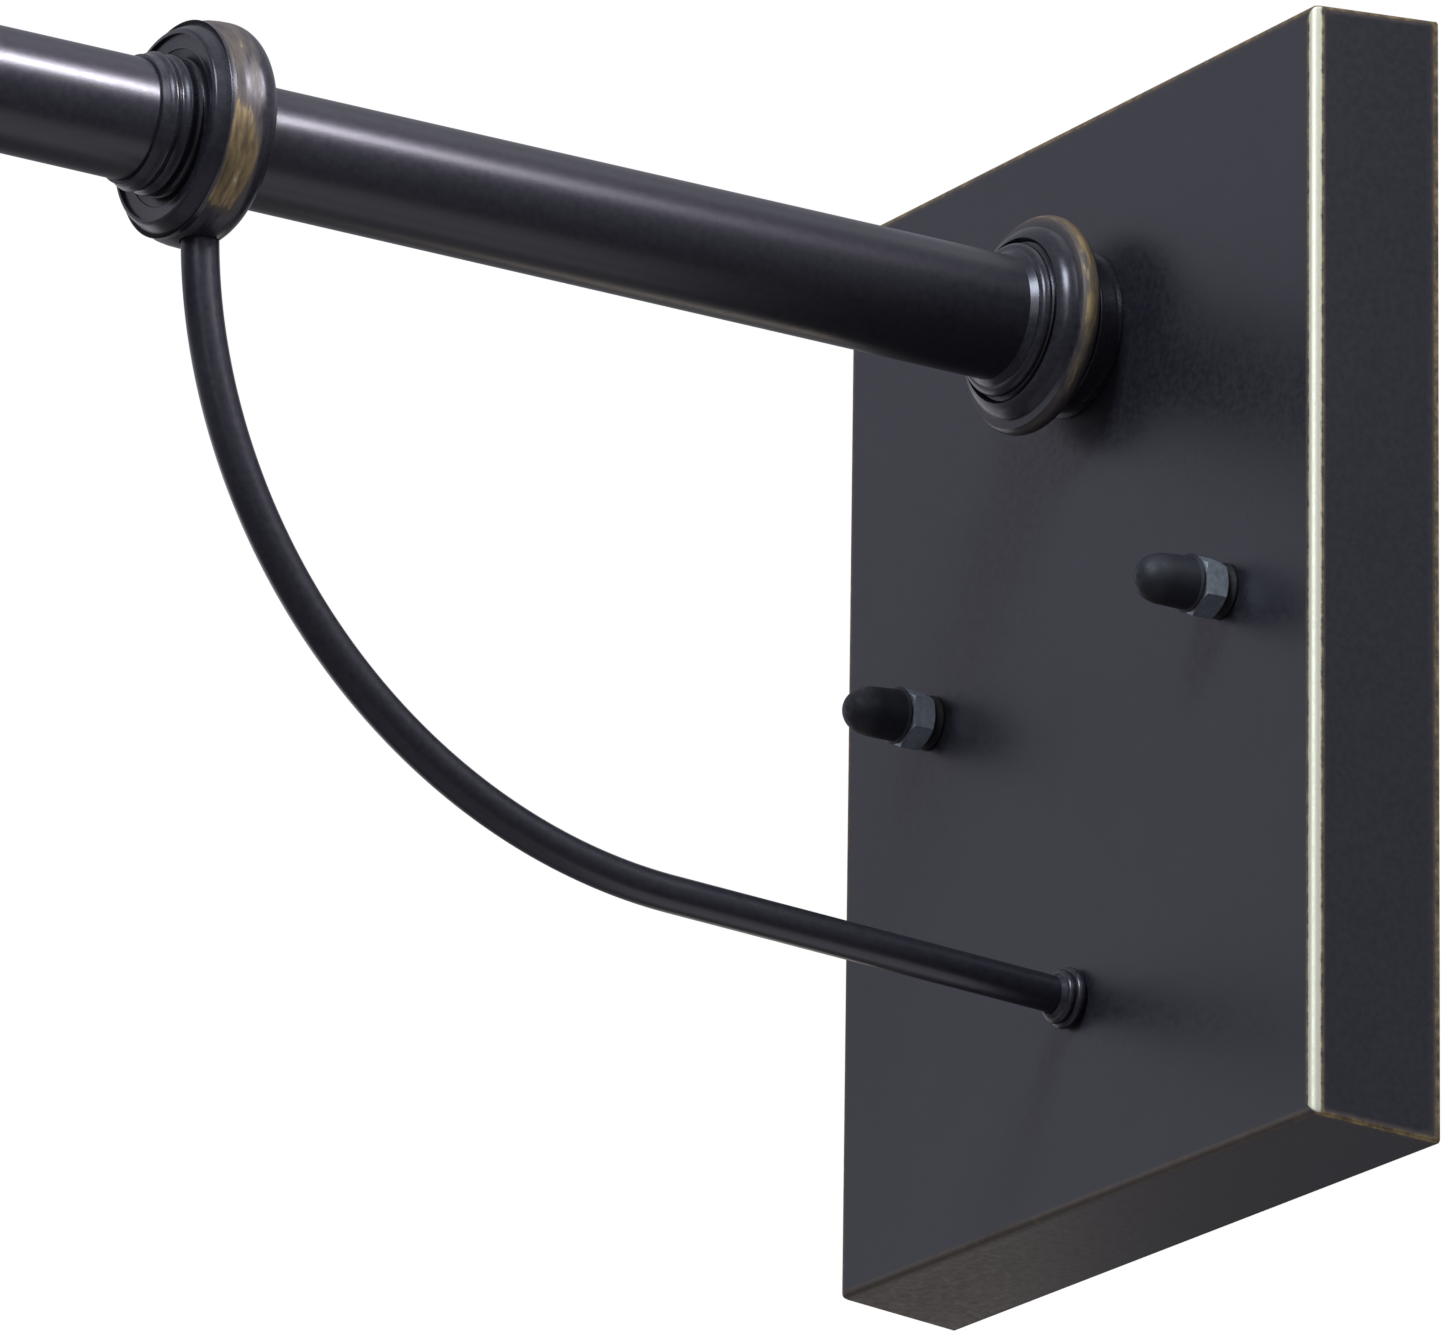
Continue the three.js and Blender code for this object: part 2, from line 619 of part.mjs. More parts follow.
add(fixed, "backplate", backplate(), M.bronze);
add(fixed, "crossbar", crossbar(), M.zinc, [0, -CROSSBAR.thickness, 0]);
for (const [word, side] of SIDES) {
  const bore = STUD.radius + GAP;
  const x = side * STUD_X;
  add(fixed, `stud_${word}`, stud(), M.zinc, [x, 0, 0]);
  const innerNutY = -CROSSBAR.thickness - GAP - NUT.height;
  const washerY = FRONT_Y - GAP - STUD_WASHER.thickness;
  const outerNutY = washerY - GAP - OUTER_NUT.height;
  add(fixed, `inner_nut_${word}`, hexNut(NUT.flats, NUT.height, bore), M.zinc, [x, innerNutY, 0]);
  const studWasher = ring(bore, STUD_WASHER.radius, 0, STUD_WASHER.thickness);
  add(fixed, `outer_washer_${word}`, studWasher, M.bronze, [x, washerY, 0]);
  const outerNut = hexNut(OUTER_NUT.flats, OUTER_NUT.height, bore).rotateY(Math.PI / 6);
  add(fixed, `outer_nut_${word}`, outerNut, M.zinc, [x, outerNutY, 0]);
  add(fixed, `rubber_cap_${word}`, rubberCap(), M.rubber, [x, outerNutY - GAP, 0]);
}
add(fixed, "ground_screw", hexScrew(GROUND_SCREW.flats, GROUND_SCREW.head, GROUND_SCREW.shank,
  CROSSBAR.thickness), M.green, [GROUND_SCREW.x, -CROSSBAR.thickness - GAP, 0]);

add(fixed, "arm_flange", armFlange(), M.bronze, [0, FRONT_Y, ARM.z]);
add(fixed, "arm_tube", armTube(), M.bronze, [0, 0, ARM.z]);
add(fixed, "arm_nipple", armNipple(), M.zinc, [0, 0, ARM.z]);
const washerY = INSIDE_Y + GAP;
const nutY = washerY + WASHER.thickness + GAP;
add(fixed, "arm_lock_washer", ring(NIPPLE.radius + GAP, WASHER.arm, 0, WASHER.thickness), M.steel,
  [0, washerY, ARM.z]);
add(fixed, "arm_lock_nut", hexNut(LOCK_NUT.flats, LOCK_NUT.height, NIPPLE.radius + GAP), M.steel,
  [0, nutY, ARM.z]);

add(fixed, "brace_collar", braceCollar(), M.bronze, [0, COLLAR_Y, ARM.z]);
add(fixed, "brace_rod", braceRod(), M.bronze);
add(fixed, "brace_ferrule", braceFerrule(), M.bronze, [0, FRONT_Y, FERRULE_Z]);
const stemBore = FERRULE.stem + GAP;
const braceWasher = ring(stemBore, WASHER.brace, 0, WASHER.thickness);
add(fixed, "brace_washer", braceWasher, M.steel, [0, washerY, FERRULE_Z]);
add(fixed, "brace_nut", hexNut(NUT.flats, NUT.height, stemBore), M.steel, [0, nutY, FERRULE_Z]);

add(fixed, "lead_live", supplyLead(LEAD_SPOTS.live, -1), M.blackLead);
add(fixed, "lead_neutral", supplyLead(LEAD_SPOTS.neutral, 1), M.whiteLead);
add(fixed, "lead_ground", groundLead(), M.green);
for (const [word, side] of [["live", -1], ["neutral", 1]]) {
  const spot = [side * CONNECTOR.x, -11, CONNECTOR.top];
  add(fixed, `connector_${word}`, wireConnector(), M.connector, spot);
}

const armHalf = swivelHalf(ARM.radius - ARM.wall - GAP, SWIVEL.armBore, SWIVEL.armStem);
add(fixed, "swivel_arm_half", armHalf, M.bronze, [0, PIVOT_Y, ARM.z]);
const frictionWasher = ring(6, SWIVEL.drum - 0.6, -SWIVEL.washer, SWIVEL.washer, FINE);
add(fixed, "swivel_friction_washer", alongX(frictionWasher), M.fibre, [0, PIVOT_Y, ARM.z]);
const pivotSeat = SWIVEL.half + GAP;
const pivotWasherEnd = pivotSeat + WASHER.thickness;
const pivotBore = PIVOT_SCREW.radius + GAP;
add(fixed, "swivel_screw", alongX(domeScrew(PIVOT_SCREW, pivotSeat * 2 + PIVOT_SCREW.spare), -1), M.bronze,
  [-pivotSeat, PIVOT_Y, ARM.z]);
add(fixed, "swivel_lock_washer", alongX(ring(pivotBore, PIVOT_NUT.washer, pivotSeat, pivotWasherEnd)),
  M.steel, [0, PIVOT_Y, ARM.z]);
add(fixed, "swivel_acorn_nut", alongX(acornNut(PIVOT_NUT.flats, PIVOT_NUT.height, pivotBore), -1),
  M.bronze, [pivotWasherEnd + GAP, PIVOT_Y, ARM.z]);

const headHalf = swivelHalf(NIPPLE.radius, NIPPLE.bore, SWIVEL.headStem);
add(head, "swivel_head_half", headHalf.rotateZ(Math.PI), M.bronze);
add(head, "shade_seat", shadeSeat(), M.bronze);
const washerOnCurve = -(SHADE_BACK + SHADE.sheet + 0.9) - WASHER.thickness; // clear of the sheet's curve
const shadeNutY = washerOnCurve - GAP - SHADE_NUT.height;
const stemHole = NIPPLE.radius + GAP;
add(head, "shade_lock_washer", ring(stemHole, SHADE_NUT.washer, 0, WASHER.thickness), M.steel,
  [0, washerOnCurve, 0]);
add(head, "shade_lock_nut", hexNut(SHADE_NUT.flats, SHADE_NUT.height, stemHole), M.steel, [0, shadeNutY, 0]);
add(head, "shade_shell", shadeShell(), M.bronze, [0, SHADE_Y, 0]);
add(head, "reflector", reflector(), M.aluminium, [0, SHADE_Y, 0]);

const standoffFrom = REFLECTOR.radius + GAP;
const standoffTo = SHADE.radius - SHADE.sheet - GAP - 0.15;
const holderBackX = CAP_INNER_X - GAP - HOLDER.inset;
const baseX = holderBackX - HOLDER.rear - LAMP.baseGap;
const glassX = baseX - LAMP.baseDepth;
const capScrewX = CAP_INNER_X + END_CAP.thickness + GAP;
const reflectorScrewZ = REFLECTOR.radius - REFLECTOR.sheet - GAP - 0.1;
for (const [word, side] of SIDES) {
  const post = ring(STANDOFF.bore, STANDOFF.radius, standoffFrom, standoffTo).rotateX(Math.PI / 2);
  add(head, `reflector_standoff_${word}`, post, M.zinc, [side * STANDOFF.x, SHADE_Y, 0]);
  const screw = domeScrew(REFLECTOR_SCREW, REFLECTOR_SCREW.length).rotateX(-Math.PI / 2);
  add(head, `reflector_screw_${word}`, screw, M.zinc, [side * STANDOFF.x, SHADE_Y, reflectorScrewZ]);

  const axis = (x) => [side * x, SHADE_Y, LAMP.z];
  const cap = endCap();
  add(head, `end_cap_${word}`, side > 0 ? cap : cap.rotateZ(Math.PI), M.bronze,
    [side * CAP_INNER_X, SHADE_Y, 0]);
  const capScrew = domeScrew(HOLDER_SCREW, HOLDER_SCREW.length);
  add(head, `holder_screw_${word}`, alongX(capScrew, side), M.bronze, axis(capScrewX));
  add(head, `lamp_holder_${word}`, alongX(lampHolder(), side), M.porcelain, axis(holderBackX));
  add(head, `lamp_base_${word}`, alongX(lampBase(), side), M.brass, axis(baseX));
  add(head, `lamp_glass_${word}`, alongX(lampGlass(glassX - LAMP.tip), side), M.glass, axis(glassX));
  add(head, `head_lead_${word}`, headLead(side), M.blackLead);
}

export default light;
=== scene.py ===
"""Looks for the picture light: fine meshes, materials, soft studio light and the camera.

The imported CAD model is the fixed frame. Places and main sizes are read from its nodes; sizes that a
node's box doesn't give are named below in millimetres. Meshes are made in millimetres and scaled
to metres when each piece is finished.
"""
import math

import bmesh
import bpy
from mathutils import Matrix, Vector
from mathutils.geometry import delaunay_2d_cdt


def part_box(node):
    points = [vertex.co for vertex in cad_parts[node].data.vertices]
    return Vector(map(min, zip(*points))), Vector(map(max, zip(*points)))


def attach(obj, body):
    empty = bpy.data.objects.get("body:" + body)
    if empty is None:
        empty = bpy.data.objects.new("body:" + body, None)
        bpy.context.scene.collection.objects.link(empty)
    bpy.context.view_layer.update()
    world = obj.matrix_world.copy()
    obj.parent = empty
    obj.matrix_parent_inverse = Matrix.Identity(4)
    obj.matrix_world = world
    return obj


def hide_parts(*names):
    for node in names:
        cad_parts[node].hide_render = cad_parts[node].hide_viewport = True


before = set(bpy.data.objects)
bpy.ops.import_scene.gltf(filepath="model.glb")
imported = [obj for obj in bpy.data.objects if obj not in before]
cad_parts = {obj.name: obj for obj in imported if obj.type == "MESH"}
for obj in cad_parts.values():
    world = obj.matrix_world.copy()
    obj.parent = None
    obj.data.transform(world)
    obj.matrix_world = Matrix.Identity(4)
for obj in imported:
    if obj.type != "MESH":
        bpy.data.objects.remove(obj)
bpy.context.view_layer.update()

MM = 0.001
SIDES = 128  # round a large turned piece
SMALL_SIDES = 64  # round a small turned piece
TINY = 1e-6
WEAR_REACH = 1.3  # mm that rubbed brass spreads from a worn corner
QUARTER = math.pi / 2

# ---------------------------------------------------------------- frame measurements


def span(node):
    """Lowest and highest corner of a CAD node, in millimetres."""
    low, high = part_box(node)
    return low / MM, high / MM


def middle(node):
    low, high = span(node)
    return (low + high) / 2


PLATE_LOW, PLATE_HIGH = span("backplate")
ARM_AXIS = middle("arm_tube")
PIVOT = middle("swivel_friction_washer")
SHADE_LOW, SHADE_HIGH = span("shade_shell")
SIDES_OF = {"left": -1, "right": 1}

PLATE_FLARE = 1.5  # mm that each side spreads between the front and the wall
PLATE_SHEET = 1.5
ROD_BEND = 92.9
ROD_SLOPE = math.radians(3.1)
SHADE_RADIUS = 38.0
SHADE_SHEET = 1.2
SHADE_LIP = 1.8
SHADE_MOUTH = math.radians(25)
REFLECTOR_RADIUS = 30.0
REFLECTOR_SHEET = 0.8
REFLECTOR_START = math.radians(18)

# ---------------------------------------------------------------- mesh helpers


def rounded(corners, steps=7):
    """A path of (x, y, wear) points with its corners rounded.

    A corner is (x, y), (x, y, fillet) or (x, y, fillet, wear). Wear fades over WEAR_REACH from a
    worn corner, and the straight stretches get points there to carry it.
    """
    filled = [(*corner, *(0.0, 0.0)[len(corner) - 2:]) for corner in corners]
    path = []
    worn = []
    for index, (x, y, fillet, wear) in enumerate(filled):
        here = Vector((x, y))
        if wear:
            worn.append((here, wear, WEAR_REACH + fillet))
        if fillet < TINY or index in (0, len(filled) - 1):
            path.append(here)
            continue
        before = (Vector(filled[index - 1][:2]) - here).normalized()
        after = (Vector(filled[index + 1][:2]) - here).normalized()
        turn = math.pi - before.angle(after)
        back = fillet * math.tan(turn / 2)
        centre = here + (before + after).normalized() * (fillet / math.cos(turn / 2))
        start = here + before * back - centre
        end = here + after * back - centre
        for step in range(steps + 1):
            path.append(centre + start.slerp(end, step / steps) if step < steps else centre + end)
    return with_wear(path, worn)


def with_wear(path, worn):
    """Adds wear to a path, and points on straight stretches where the wear changes."""
    dense = [path[0]]
    for start, end in zip(path, path[1:]):
        length = (end - start).length
        if length > WEAR_REACH:
            near = [WEAR_REACH * share for share in (0.12, 0.45, 1.0) if WEAR_REACH * share < length / 2]
            stops = sorted({*near, *(length - stop for stop in near)})
            dense.extend(start.lerp(end, stop / length) for stop in stops)
        dense.append(end)
    result = []
    for point in dense:
        amounts = [wear * max(0.0, 1 - (point - at).length / reach) for at, wear, reach in worn]
        result.append((point.x, point.y, max(amounts, default=0.0)))
    return result


def arc_points(x, y, radius, start, end, steps=8):
    """Corner tuples along an arc, both ends included."""
    turns = [start + (end - start) * i / steps for i in range(steps + 1)]
    return [(x + radius * math.cos(turn), y + radius * math.sin(turn)) for turn in turns]


def angles(sides):
    return [2 * math.pi * i / sides for i in range(sides)]


def new_bmesh():
    bm = bmesh.new()
    return bm, bm.verts.layers.float.new("wear")


def bridge(bm, first, second):
    """Faces between two rings of vertices; a ring of one vertex is a tip."""
    count = max(len(first), len(second))
    for i in range(count):
        j = (i + 1) % count
        corners = [(first, i), (first, j), (second, j), (second, i)]
        unique = list(dict.fromkeys(ring[at % len(ring)] for ring, at in corners))
        if len(unique) > 2:
            bm.faces.new(unique)


def bridge_all(bm, rings):
    for first, second in zip(rings, rings[1:]):
        bridge(bm, first, second)


def ring_of(bm, layer, places, wear=0.0):
    ring = []
    for place in places:
        vert = bm.verts.new(place)
        vert[layer] = wear
        ring.append(vert)
    return ring


def ring_around(bm, layer, sides, shape, wear=0.0):
    """A ring about +Y; shape gives the radius and the height at each angle."""
    places = []
    for angle in angles(sides):
        radius, along = shape(angle)
        places.append((radius * math.cos(angle), along, radius * math.sin(angle)))
    return ring_of(bm, layer, places, wear)


def revolved(profile, sides=SIDES):
    """A mesh turned about +Y from (radius, along, wear) points."""
    bm, layer = new_bmesh()
    closed = (Vector(profile[0][:2]) - Vector(profile[-1][:2])).length < TINY
    points = profile[:-1] if closed else profile
    rings = []
    for radius, along, wear in points:
        if radius < TINY:
            rings.append(ring_of(bm, layer, [(0, along, 0)], wear))
            continue
        rings.append(ring_around(bm, layer, sides, lambda _: (radius, along), wear))
    if closed:
        rings.append(rings[0])
    bridge_all(bm, rings)
    return bm


def swept(path, radius, sides=32):
    """A round bar along a list of points, with flat ends."""
    bm, layer = new_bmesh()
    tangents = [(after - before).normalized() for before, after in zip(path, path[1:])]
    tangents.append(tangents[-1])
    side = tangents[0].orthogonal().normalized()
    rings = [ring_of(bm, layer, [path[0]])]
    for point, tangent in zip(path, tangents):
        side = (side - tangent * side.dot(tangent)).normalized()
        up = tangent.cross(side)
        around = [side * math.cos(turn) + up * math.sin(turn) for turn in angles(sides)]
        rings.append(ring_of(bm, layer, [point + arm * radius for arm in around]))
    rings.append(ring_of(bm, layer, [path[-1]]))
    bridge_all(bm, rings)
    return bm


def smooth_path(points, count):
    """Evenly many points on a centripetal Catmull-Rom curve through the given points."""
    points = [Vector(point) for point in points]
    whole = sum((after - before).length for before, after in zip(points, points[1:]))
    ends = [2 * points[0] - points[1], *points, 2 * points[-1] - points[-2]]
    result = []
    for index in range(1, len(ends) - 2):
        a, b, c, d = ends[index - 1:index + 3]
        share = max(2, round(count * (c - b).length / whole))
        knots = [0.0]
        for p, q in ((a, b), (b, c), (c, d)):
            knots.append(knots[-1] + max(TINY, (q - p).length) ** 0.5)
        for step in range(share):
            t = knots[1] + (knots[2] - knots[1]) * step / share
            ab = a.lerp(b, (t - knots[0]) / (knots[1] - knots[0]))
            bc = b.lerp(c, (t - knots[1]) / (knots[2] - knots[1]))
            cd = c.lerp(d, (t - knots[2]) / (knots[3] - knots[2]))
            abc = ab.lerp(bc, (t - knots[0]) / (knots[2] - knots[0]))
            bcd = bc.lerp(cd, (t - knots[1]) / (knots[3] - knots[1]))
            result.append(abc.lerp(bcd, (t - knots[1]) / (knots[2] - knots[1])))
    return [*result, points[-1]]


def to_temporary(bm):
    mesh = bpy.data.meshes.new("temporary")
    bmesh.ops.recalc_face_normals(bm, faces=bm.faces[:])
    bm.to_mesh(mesh)
    bm.free()
    obj = bpy.data.objects.new("temporary", mesh)
    bpy.context.collection.objects.link(obj)
    return obj


def combined(bm, other, operation):
    """UNION or DIFFERENCE of two closed meshes, as a new bmesh."""
    first = to_temporary(bm)
    second = to_temporary(other)
    modifier = first.modifiers.new("boolean", "BOOLEAN")
    modifier.object = second
    modifier.operation = operation
    modifier.solver = "EXACT"
    evaluated = first.evaluated_get(bpy.context.evaluated_depsgraph_get())
    result = bmesh.new()
    result.from_mesh(evaluated.to_mesh())
    evaluated.to_mesh_clear()
    for obj in (first, second):
        mesh = obj.data
        bpy.data.objects.remove(obj)
        bpy.data.meshes.remove(mesh)
    return result


def placing(place, towards):
    """The matrix that turns +Y towards a direction and then moves to a place."""
    turn = Vector((0, 1, 0)).rotation_difference(Vector(towards)).to_matrix().to_4x4()
    return Matrix.Translation(Vector(place)) @ turn


def moved(bm, place=(0, 0, 0), towards=(0, 1, 0)):
    """Turns a bmesh's +Y towards a direction and moves it."""
    bm.transform(placing(place, towards))
    return bm


def rubbed(bm, amount):
    """Sets the wear of every vertex from its place."""
    layer = bm.verts.layers.float["wear"]
    for vert in bm.verts:
        vert[layer] = amount(vert.co)
    return bm


def ramp(value, low, high):
    """0 below low, 1 above high, and smooth between them."""
    share = min(1.0, max(0.0, (value - low) / (high - low)))
    return share * share * (3 - 2 * share)


def facing(point, degrees):
    """How far a point round the Y axis lies towards a direction, counted from +X up to +Z: 1 to 0."""
    return 0.5 + 0.5 * math.cos(math.atan2(point.z, point.x) - math.radians(degrees))


def cylinder(radius, start, end, sides=SMALL_SIDES):
    return revolved([(0, start, 0), (radius, start, 0), (radius, end, 0), (0, end, 0)], sides)


def box(low, high):
    bm, _ = new_bmesh()
    bmesh.ops.create_cube(bm, size=1)
    size = Vector(high) - Vector(low)
    bm.transform(Matrix.Translation((Vector(low) + Vector(high)) / 2) @ Matrix.Diagonal((*size, 1)))
    return bm


def offset_outline(outline, distance):
    """A closed counter-clockwise outline moved outwards, or inwards for a negative distance."""
    result = []
    count = len(outline)
    for index, point in enumerate(outline):
        before = Vector(outline[index - 1])
        after = Vector(outline[(index + 1) % count])
        along = (after - before).normalized()
        result.append(Vector(point) + distance * Vector((along.y, -along.x)))
    return result


def flat_plate(outline, holes, start, end, edge, wear=0.0):
    """A plate drawn in X and Z between two Y positions, with rounded edges and holes."""
    bm, layer = new_bmesh()
    levels = [(edge * inset, start + edge * depth) for inset, depth in ((1.0, 0.0), (0.3, 0.3), (0.0, 1.0))]
    levels += [(inset, start + end - y) for inset, y in reversed(levels)]
    inner_edge = edge + 1.0

    def wall(ring, sign, amount):
        rings = []
        for inset, y in levels:
            places = [(x, y, z) for x, z in offset_outline(ring, -sign * inset)]
            rings.append(ring_of(bm, layer, places, amount))
        if amount:
            for y, at in ((start, 0), (end, len(rings) + 1)):
                places = [(x, y, z) for x, z in offset_outline(ring, -sign * inner_edge)]
                rings.insert(at, ring_of(bm, layer, places))
        bridge_all(bm, rings)
        return rings[0], rings[-1]

    outer = wall(outline, 1, wear)
    inner = [wall(hole, -1, 0.0) for hole in holes]
    fill_flat(bm, outer[0], [pair[0] for pair in inner])
    fill_flat(bm, outer[1], [pair[1] for pair in inner])
    return bm


def extruded(outline, start, end):
    """An outline of (x, z, wear) points extruded along Y and closed with flat ends."""
    bm, layer = new_bmesh()
    rings = []
    for y in (start, end):
        ring = []
        for x, z, wear in outline:
            vert = bm.verts.new((x, y, z))
            vert[layer] = wear
            ring.append(vert)
        rings.append(ring)
    bridge(bm, *rings)
    for ring in rings:
        fill_flat(bm, ring, [])
    return bm


def piece(name, bm, material, body, nodes, place=(0, 0, 0), towards=(0, 1, 0), sharp=32):
    """Finishes a mesh made about +Y: turns +Y towards a direction, moves it and lets it ride."""
    bmesh.ops.remove_doubles(bm, verts=bm.verts[:], dist=1e-4)
    bmesh.ops.delete(bm, geom=[vert for vert in bm.verts if not vert.link_faces], context="VERTS")
    bmesh.ops.recalc_face_normals(bm, faces=bm.faces[:])
    if bm.calc_volume(signed=True) < 0:
        bmesh.ops.reverse_faces(bm, faces=bm.faces[:])
    mesh = bpy.data.meshes.new(name)
    bm.to_mesh(mesh)
    bm.free()
    mesh.transform(Matrix.Scale(MM, 4) @ placing(place, towards))
    mesh.shade_smooth()
    mesh.set_sharp_from_angle(angle=math.radians(sharp))
    mesh.materials.append(material)
    obj = bpy.data.objects.new(name, mesh)
    bpy.context.collection.objects.link(obj)
    weighted = obj.modifiers.new("weighted", "WEIGHTED_NORMAL")
    weighted.keep_sharp = True
    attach(obj, body)
    if nodes:
        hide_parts(*nodes)


# ---------------------------------------------------------------- material helpers


class Finish:
    """A material's node tree with short ways to add nodes."""

    def __init__(self, name):
        self.material = bpy.data.materials.new(name)
        self.material.use_nodes = True
        self.tree = self.material.node_tree
        self.shader = self.tree.nodes["Principled BSDF"]
        self.coords = self.add("ShaderNodeTexCoord").outputs["Object"]

    def add(self, kind, **values):
        node = self.tree.nodes.new(kind)
        for key, value in values.items():
            setattr(node, key, value)
        return node

    def put(self, socket, value):
        if isinstance(value, bpy.types.NodeSocket):
            self.tree.links.new(value, socket)
        else:
            socket.default_value = value

    def set(self, **values):
        """Sets the shader's sockets, named in lower case with _ for a space."""
        for key, value in values.items():
            self.put(self.shader.inputs[key.replace("_", " ").title().replace("Ior", "IOR")], value)

    def noise(self, per_mm, detail=3.0, rough=0.55, stretch=None):
        """Noise with about per_mm spots to a millimetre, optionally stretched along the axes."""
        node = self.add("ShaderNodeTexNoise")
        node.inputs["Scale"].default_value = per_mm / MM
        node.inputs["Detail"].default_value = detail
        node.inputs["Roughness"].default_value = rough
        source = self.coords
        if stretch:
            mapping = self.add("ShaderNodeMapping")
            mapping.inputs["Scale"].default_value = stretch
            self.put(mapping.inputs["Vector"], source)
            source = mapping.outputs["Vector"]
        self.put(node.inputs["Vector"], source)
        return node.outputs["Fac"]

    def math(self, operation, first, second=0.0):
        node = self.add("ShaderNodeMath", operation=operation)
        self.put(node.inputs[0], first)
        self.put(node.inputs[1], second)
        return node.outputs[0]

    def between(self, value, low, high, to_low=0.0, to_high=1.0):
        """value mapped smoothly from low..high to to_low..to_high."""
        node = self.add("ShaderNodeMapRange", interpolation_type="SMOOTHSTEP")
        for socket, number in zip(node.inputs, (value, low, high, to_low, to_high)):
            self.put(socket, number)
        return node.outputs["Result"]

    def mix(self, share, first, second):
        node = self.add("ShaderNodeMix", data_type="RGBA")
        self.put(node.inputs["Factor"], share)
        self.put(node.inputs[6], first)
        self.put(node.inputs[7], second)
        return node.outputs[2]

    def bump(self, height, distance_mm, strength=1.0):
        node = self.add("ShaderNodeBump")
        node.inputs["Strength"].default_value = strength
        node.inputs["Distance"].default_value = distance_mm * MM
        self.put(node.inputs["Height"], height)
        self.put(self.shader.inputs["Normal"], node.outputs["Normal"])

    def wear(self):
        return self.add("ShaderNodeAttribute", attribute_name="wear").outputs["Fac"]


def rgb(red, green, blue):
    return (red, green, blue, 1.0)


def bronze_finish(name, rough=(0.33, 0.44), streaks=(1, 1, 1), wobble=0.3, bump_mm=0.006):
    """Dark lacquer over brass: mottled, satin, and rubbed through where the mesh says it is worn; where the
    mesh's wear is highest the brass goes near-white, partly bare brass and partly a painted highlight, and
    on the plate's underside the brown halo is a painted reflection.
    """
    finish = Finish(name)
    cloud = finish.noise(0.09, 4)
    mottle = finish.noise(0.9, 3, 0.6)
    grain = finish.noise(2.6, 2)
    rub = finish.noise(0.55, 4, 0.65, streaks)
    dark = finish.mix(cloud, rgb(0.0085, 0.0090, 0.0140), rgb(0.0150, 0.0150, 0.0205))
    dark = finish.mix(finish.between(mottle, 0.30, 0.70, 0.0, 0.55), dark, rgb(0.0230, 0.0225, 0.0275))
    # The wear attribute holds rubbed wear, and on the plate also a painted highlight on its right edge and
    # a painted reflection on its underside.
    wear = finish.wear()
    wavering = finish.between(wear, 0.0, 0.3, 0.0, wobble)
    unevenness = finish.math("MULTIPLY", finish.math("SUBTRACT", rub, 0.5), wavering)
    amount = finish.math("ADD", wear, unevenness)
    bare = finish.between(amount, 0.44, 0.58)
    halo = finish.between(amount, 0.10, 0.52)
    brown = finish.mix(halo, dark, rgb(0.082, 0.066, 0.050))
    brass = finish.mix(finish.between(rub, 0.3, 0.7), rgb(0.13, 0.10, 0.07), rgb(0.34, 0.26, 0.14))
    # Near-white where the amount is highest: partly bare brass, partly a painted highlight.
    pale = finish.mix(finish.between(amount, 0.75, 1.0), brass, rgb(0.80, 0.80, 0.66))
    lacquer_rough = finish.between(mottle, 0.25, 0.75, *rough)
    finish.set(
        base_color=finish.mix(bare, brown, pale),
        metallic=bare,
        roughness=finish.math("ADD", lacquer_rough, finish.math("MULTIPLY", halo, 0.28)),
        specular_tint=rgb(0.90, 0.88, 1.0),
    )
    height = finish.math("ADD", grain, finish.math("MULTIPLY", mottle, 1.5))
    finish.bump(height, bump_mm)
    return finish.material


def metal_finish(name, low, high, rough, per_mm=1.2, streaks=(1, 1, 1), bump_mm=0.008, metallic=1.0):
    """Bare or plated metal: two tones of fine streaked noise."""
    finish = Finish(name)
    tone = finish.noise(per_mm, 4, 0.6, streaks)
    cloud = finish.noise(per_mm / 8, 3)
    blend = finish.math("MULTIPLY", finish.math("ADD", tone, cloud), 0.5)
    finish.set(
        base_color=finish.mix(finish.between(blend, 0.35, 0.65), rgb(*low), rgb(*high)),
        metallic=metallic,
        roughness=finish.between(tone, 0.3, 0.7, rough - 0.06, rough + 0.06),
    )
    finish.bump(tone, bump_mm)
    return finish.material


def coated_finish(name, low, high, rough, per_mm=1.5, bump_mm=0.01, coat=0.0, shine=0.5):
    """Plastic, rubber, fibre or glaze: two close tones and a fine uneven surface."""
    finish = Finish(name)
    cloud = finish.noise(per_mm / 10, 3)
    grain = finish.noise(per_mm, 3)
    finish.set(
        base_color=finish.mix(finish.between(cloud, 0.35, 0.65), rgb(*low), rgb(*high)),
        roughness=finish.between(grain, 0.3, 0.7, rough - 0.07, rough + 0.07),
        coat_weight=coat,
        specular_ior_level=shine,
    )
    finish.bump(grain, bump_mm)
    return finish.material


def glass_finish(name):
    """Thin clear glass with faint ripples."""
    finish = Finish(name)
    ripple = finish.noise(0.08, 2)
    finish.set(
        base_color=rgb(0.96, 0.96, 0.93),
        transmission_weight=1.0,
        ior=1.45,
        roughness=finish.between(finish.noise(0.6, 3), 0.3, 0.8, 0.01, 0.05),
    )
    finish.bump(ripple, 0.15)
    return finish.material


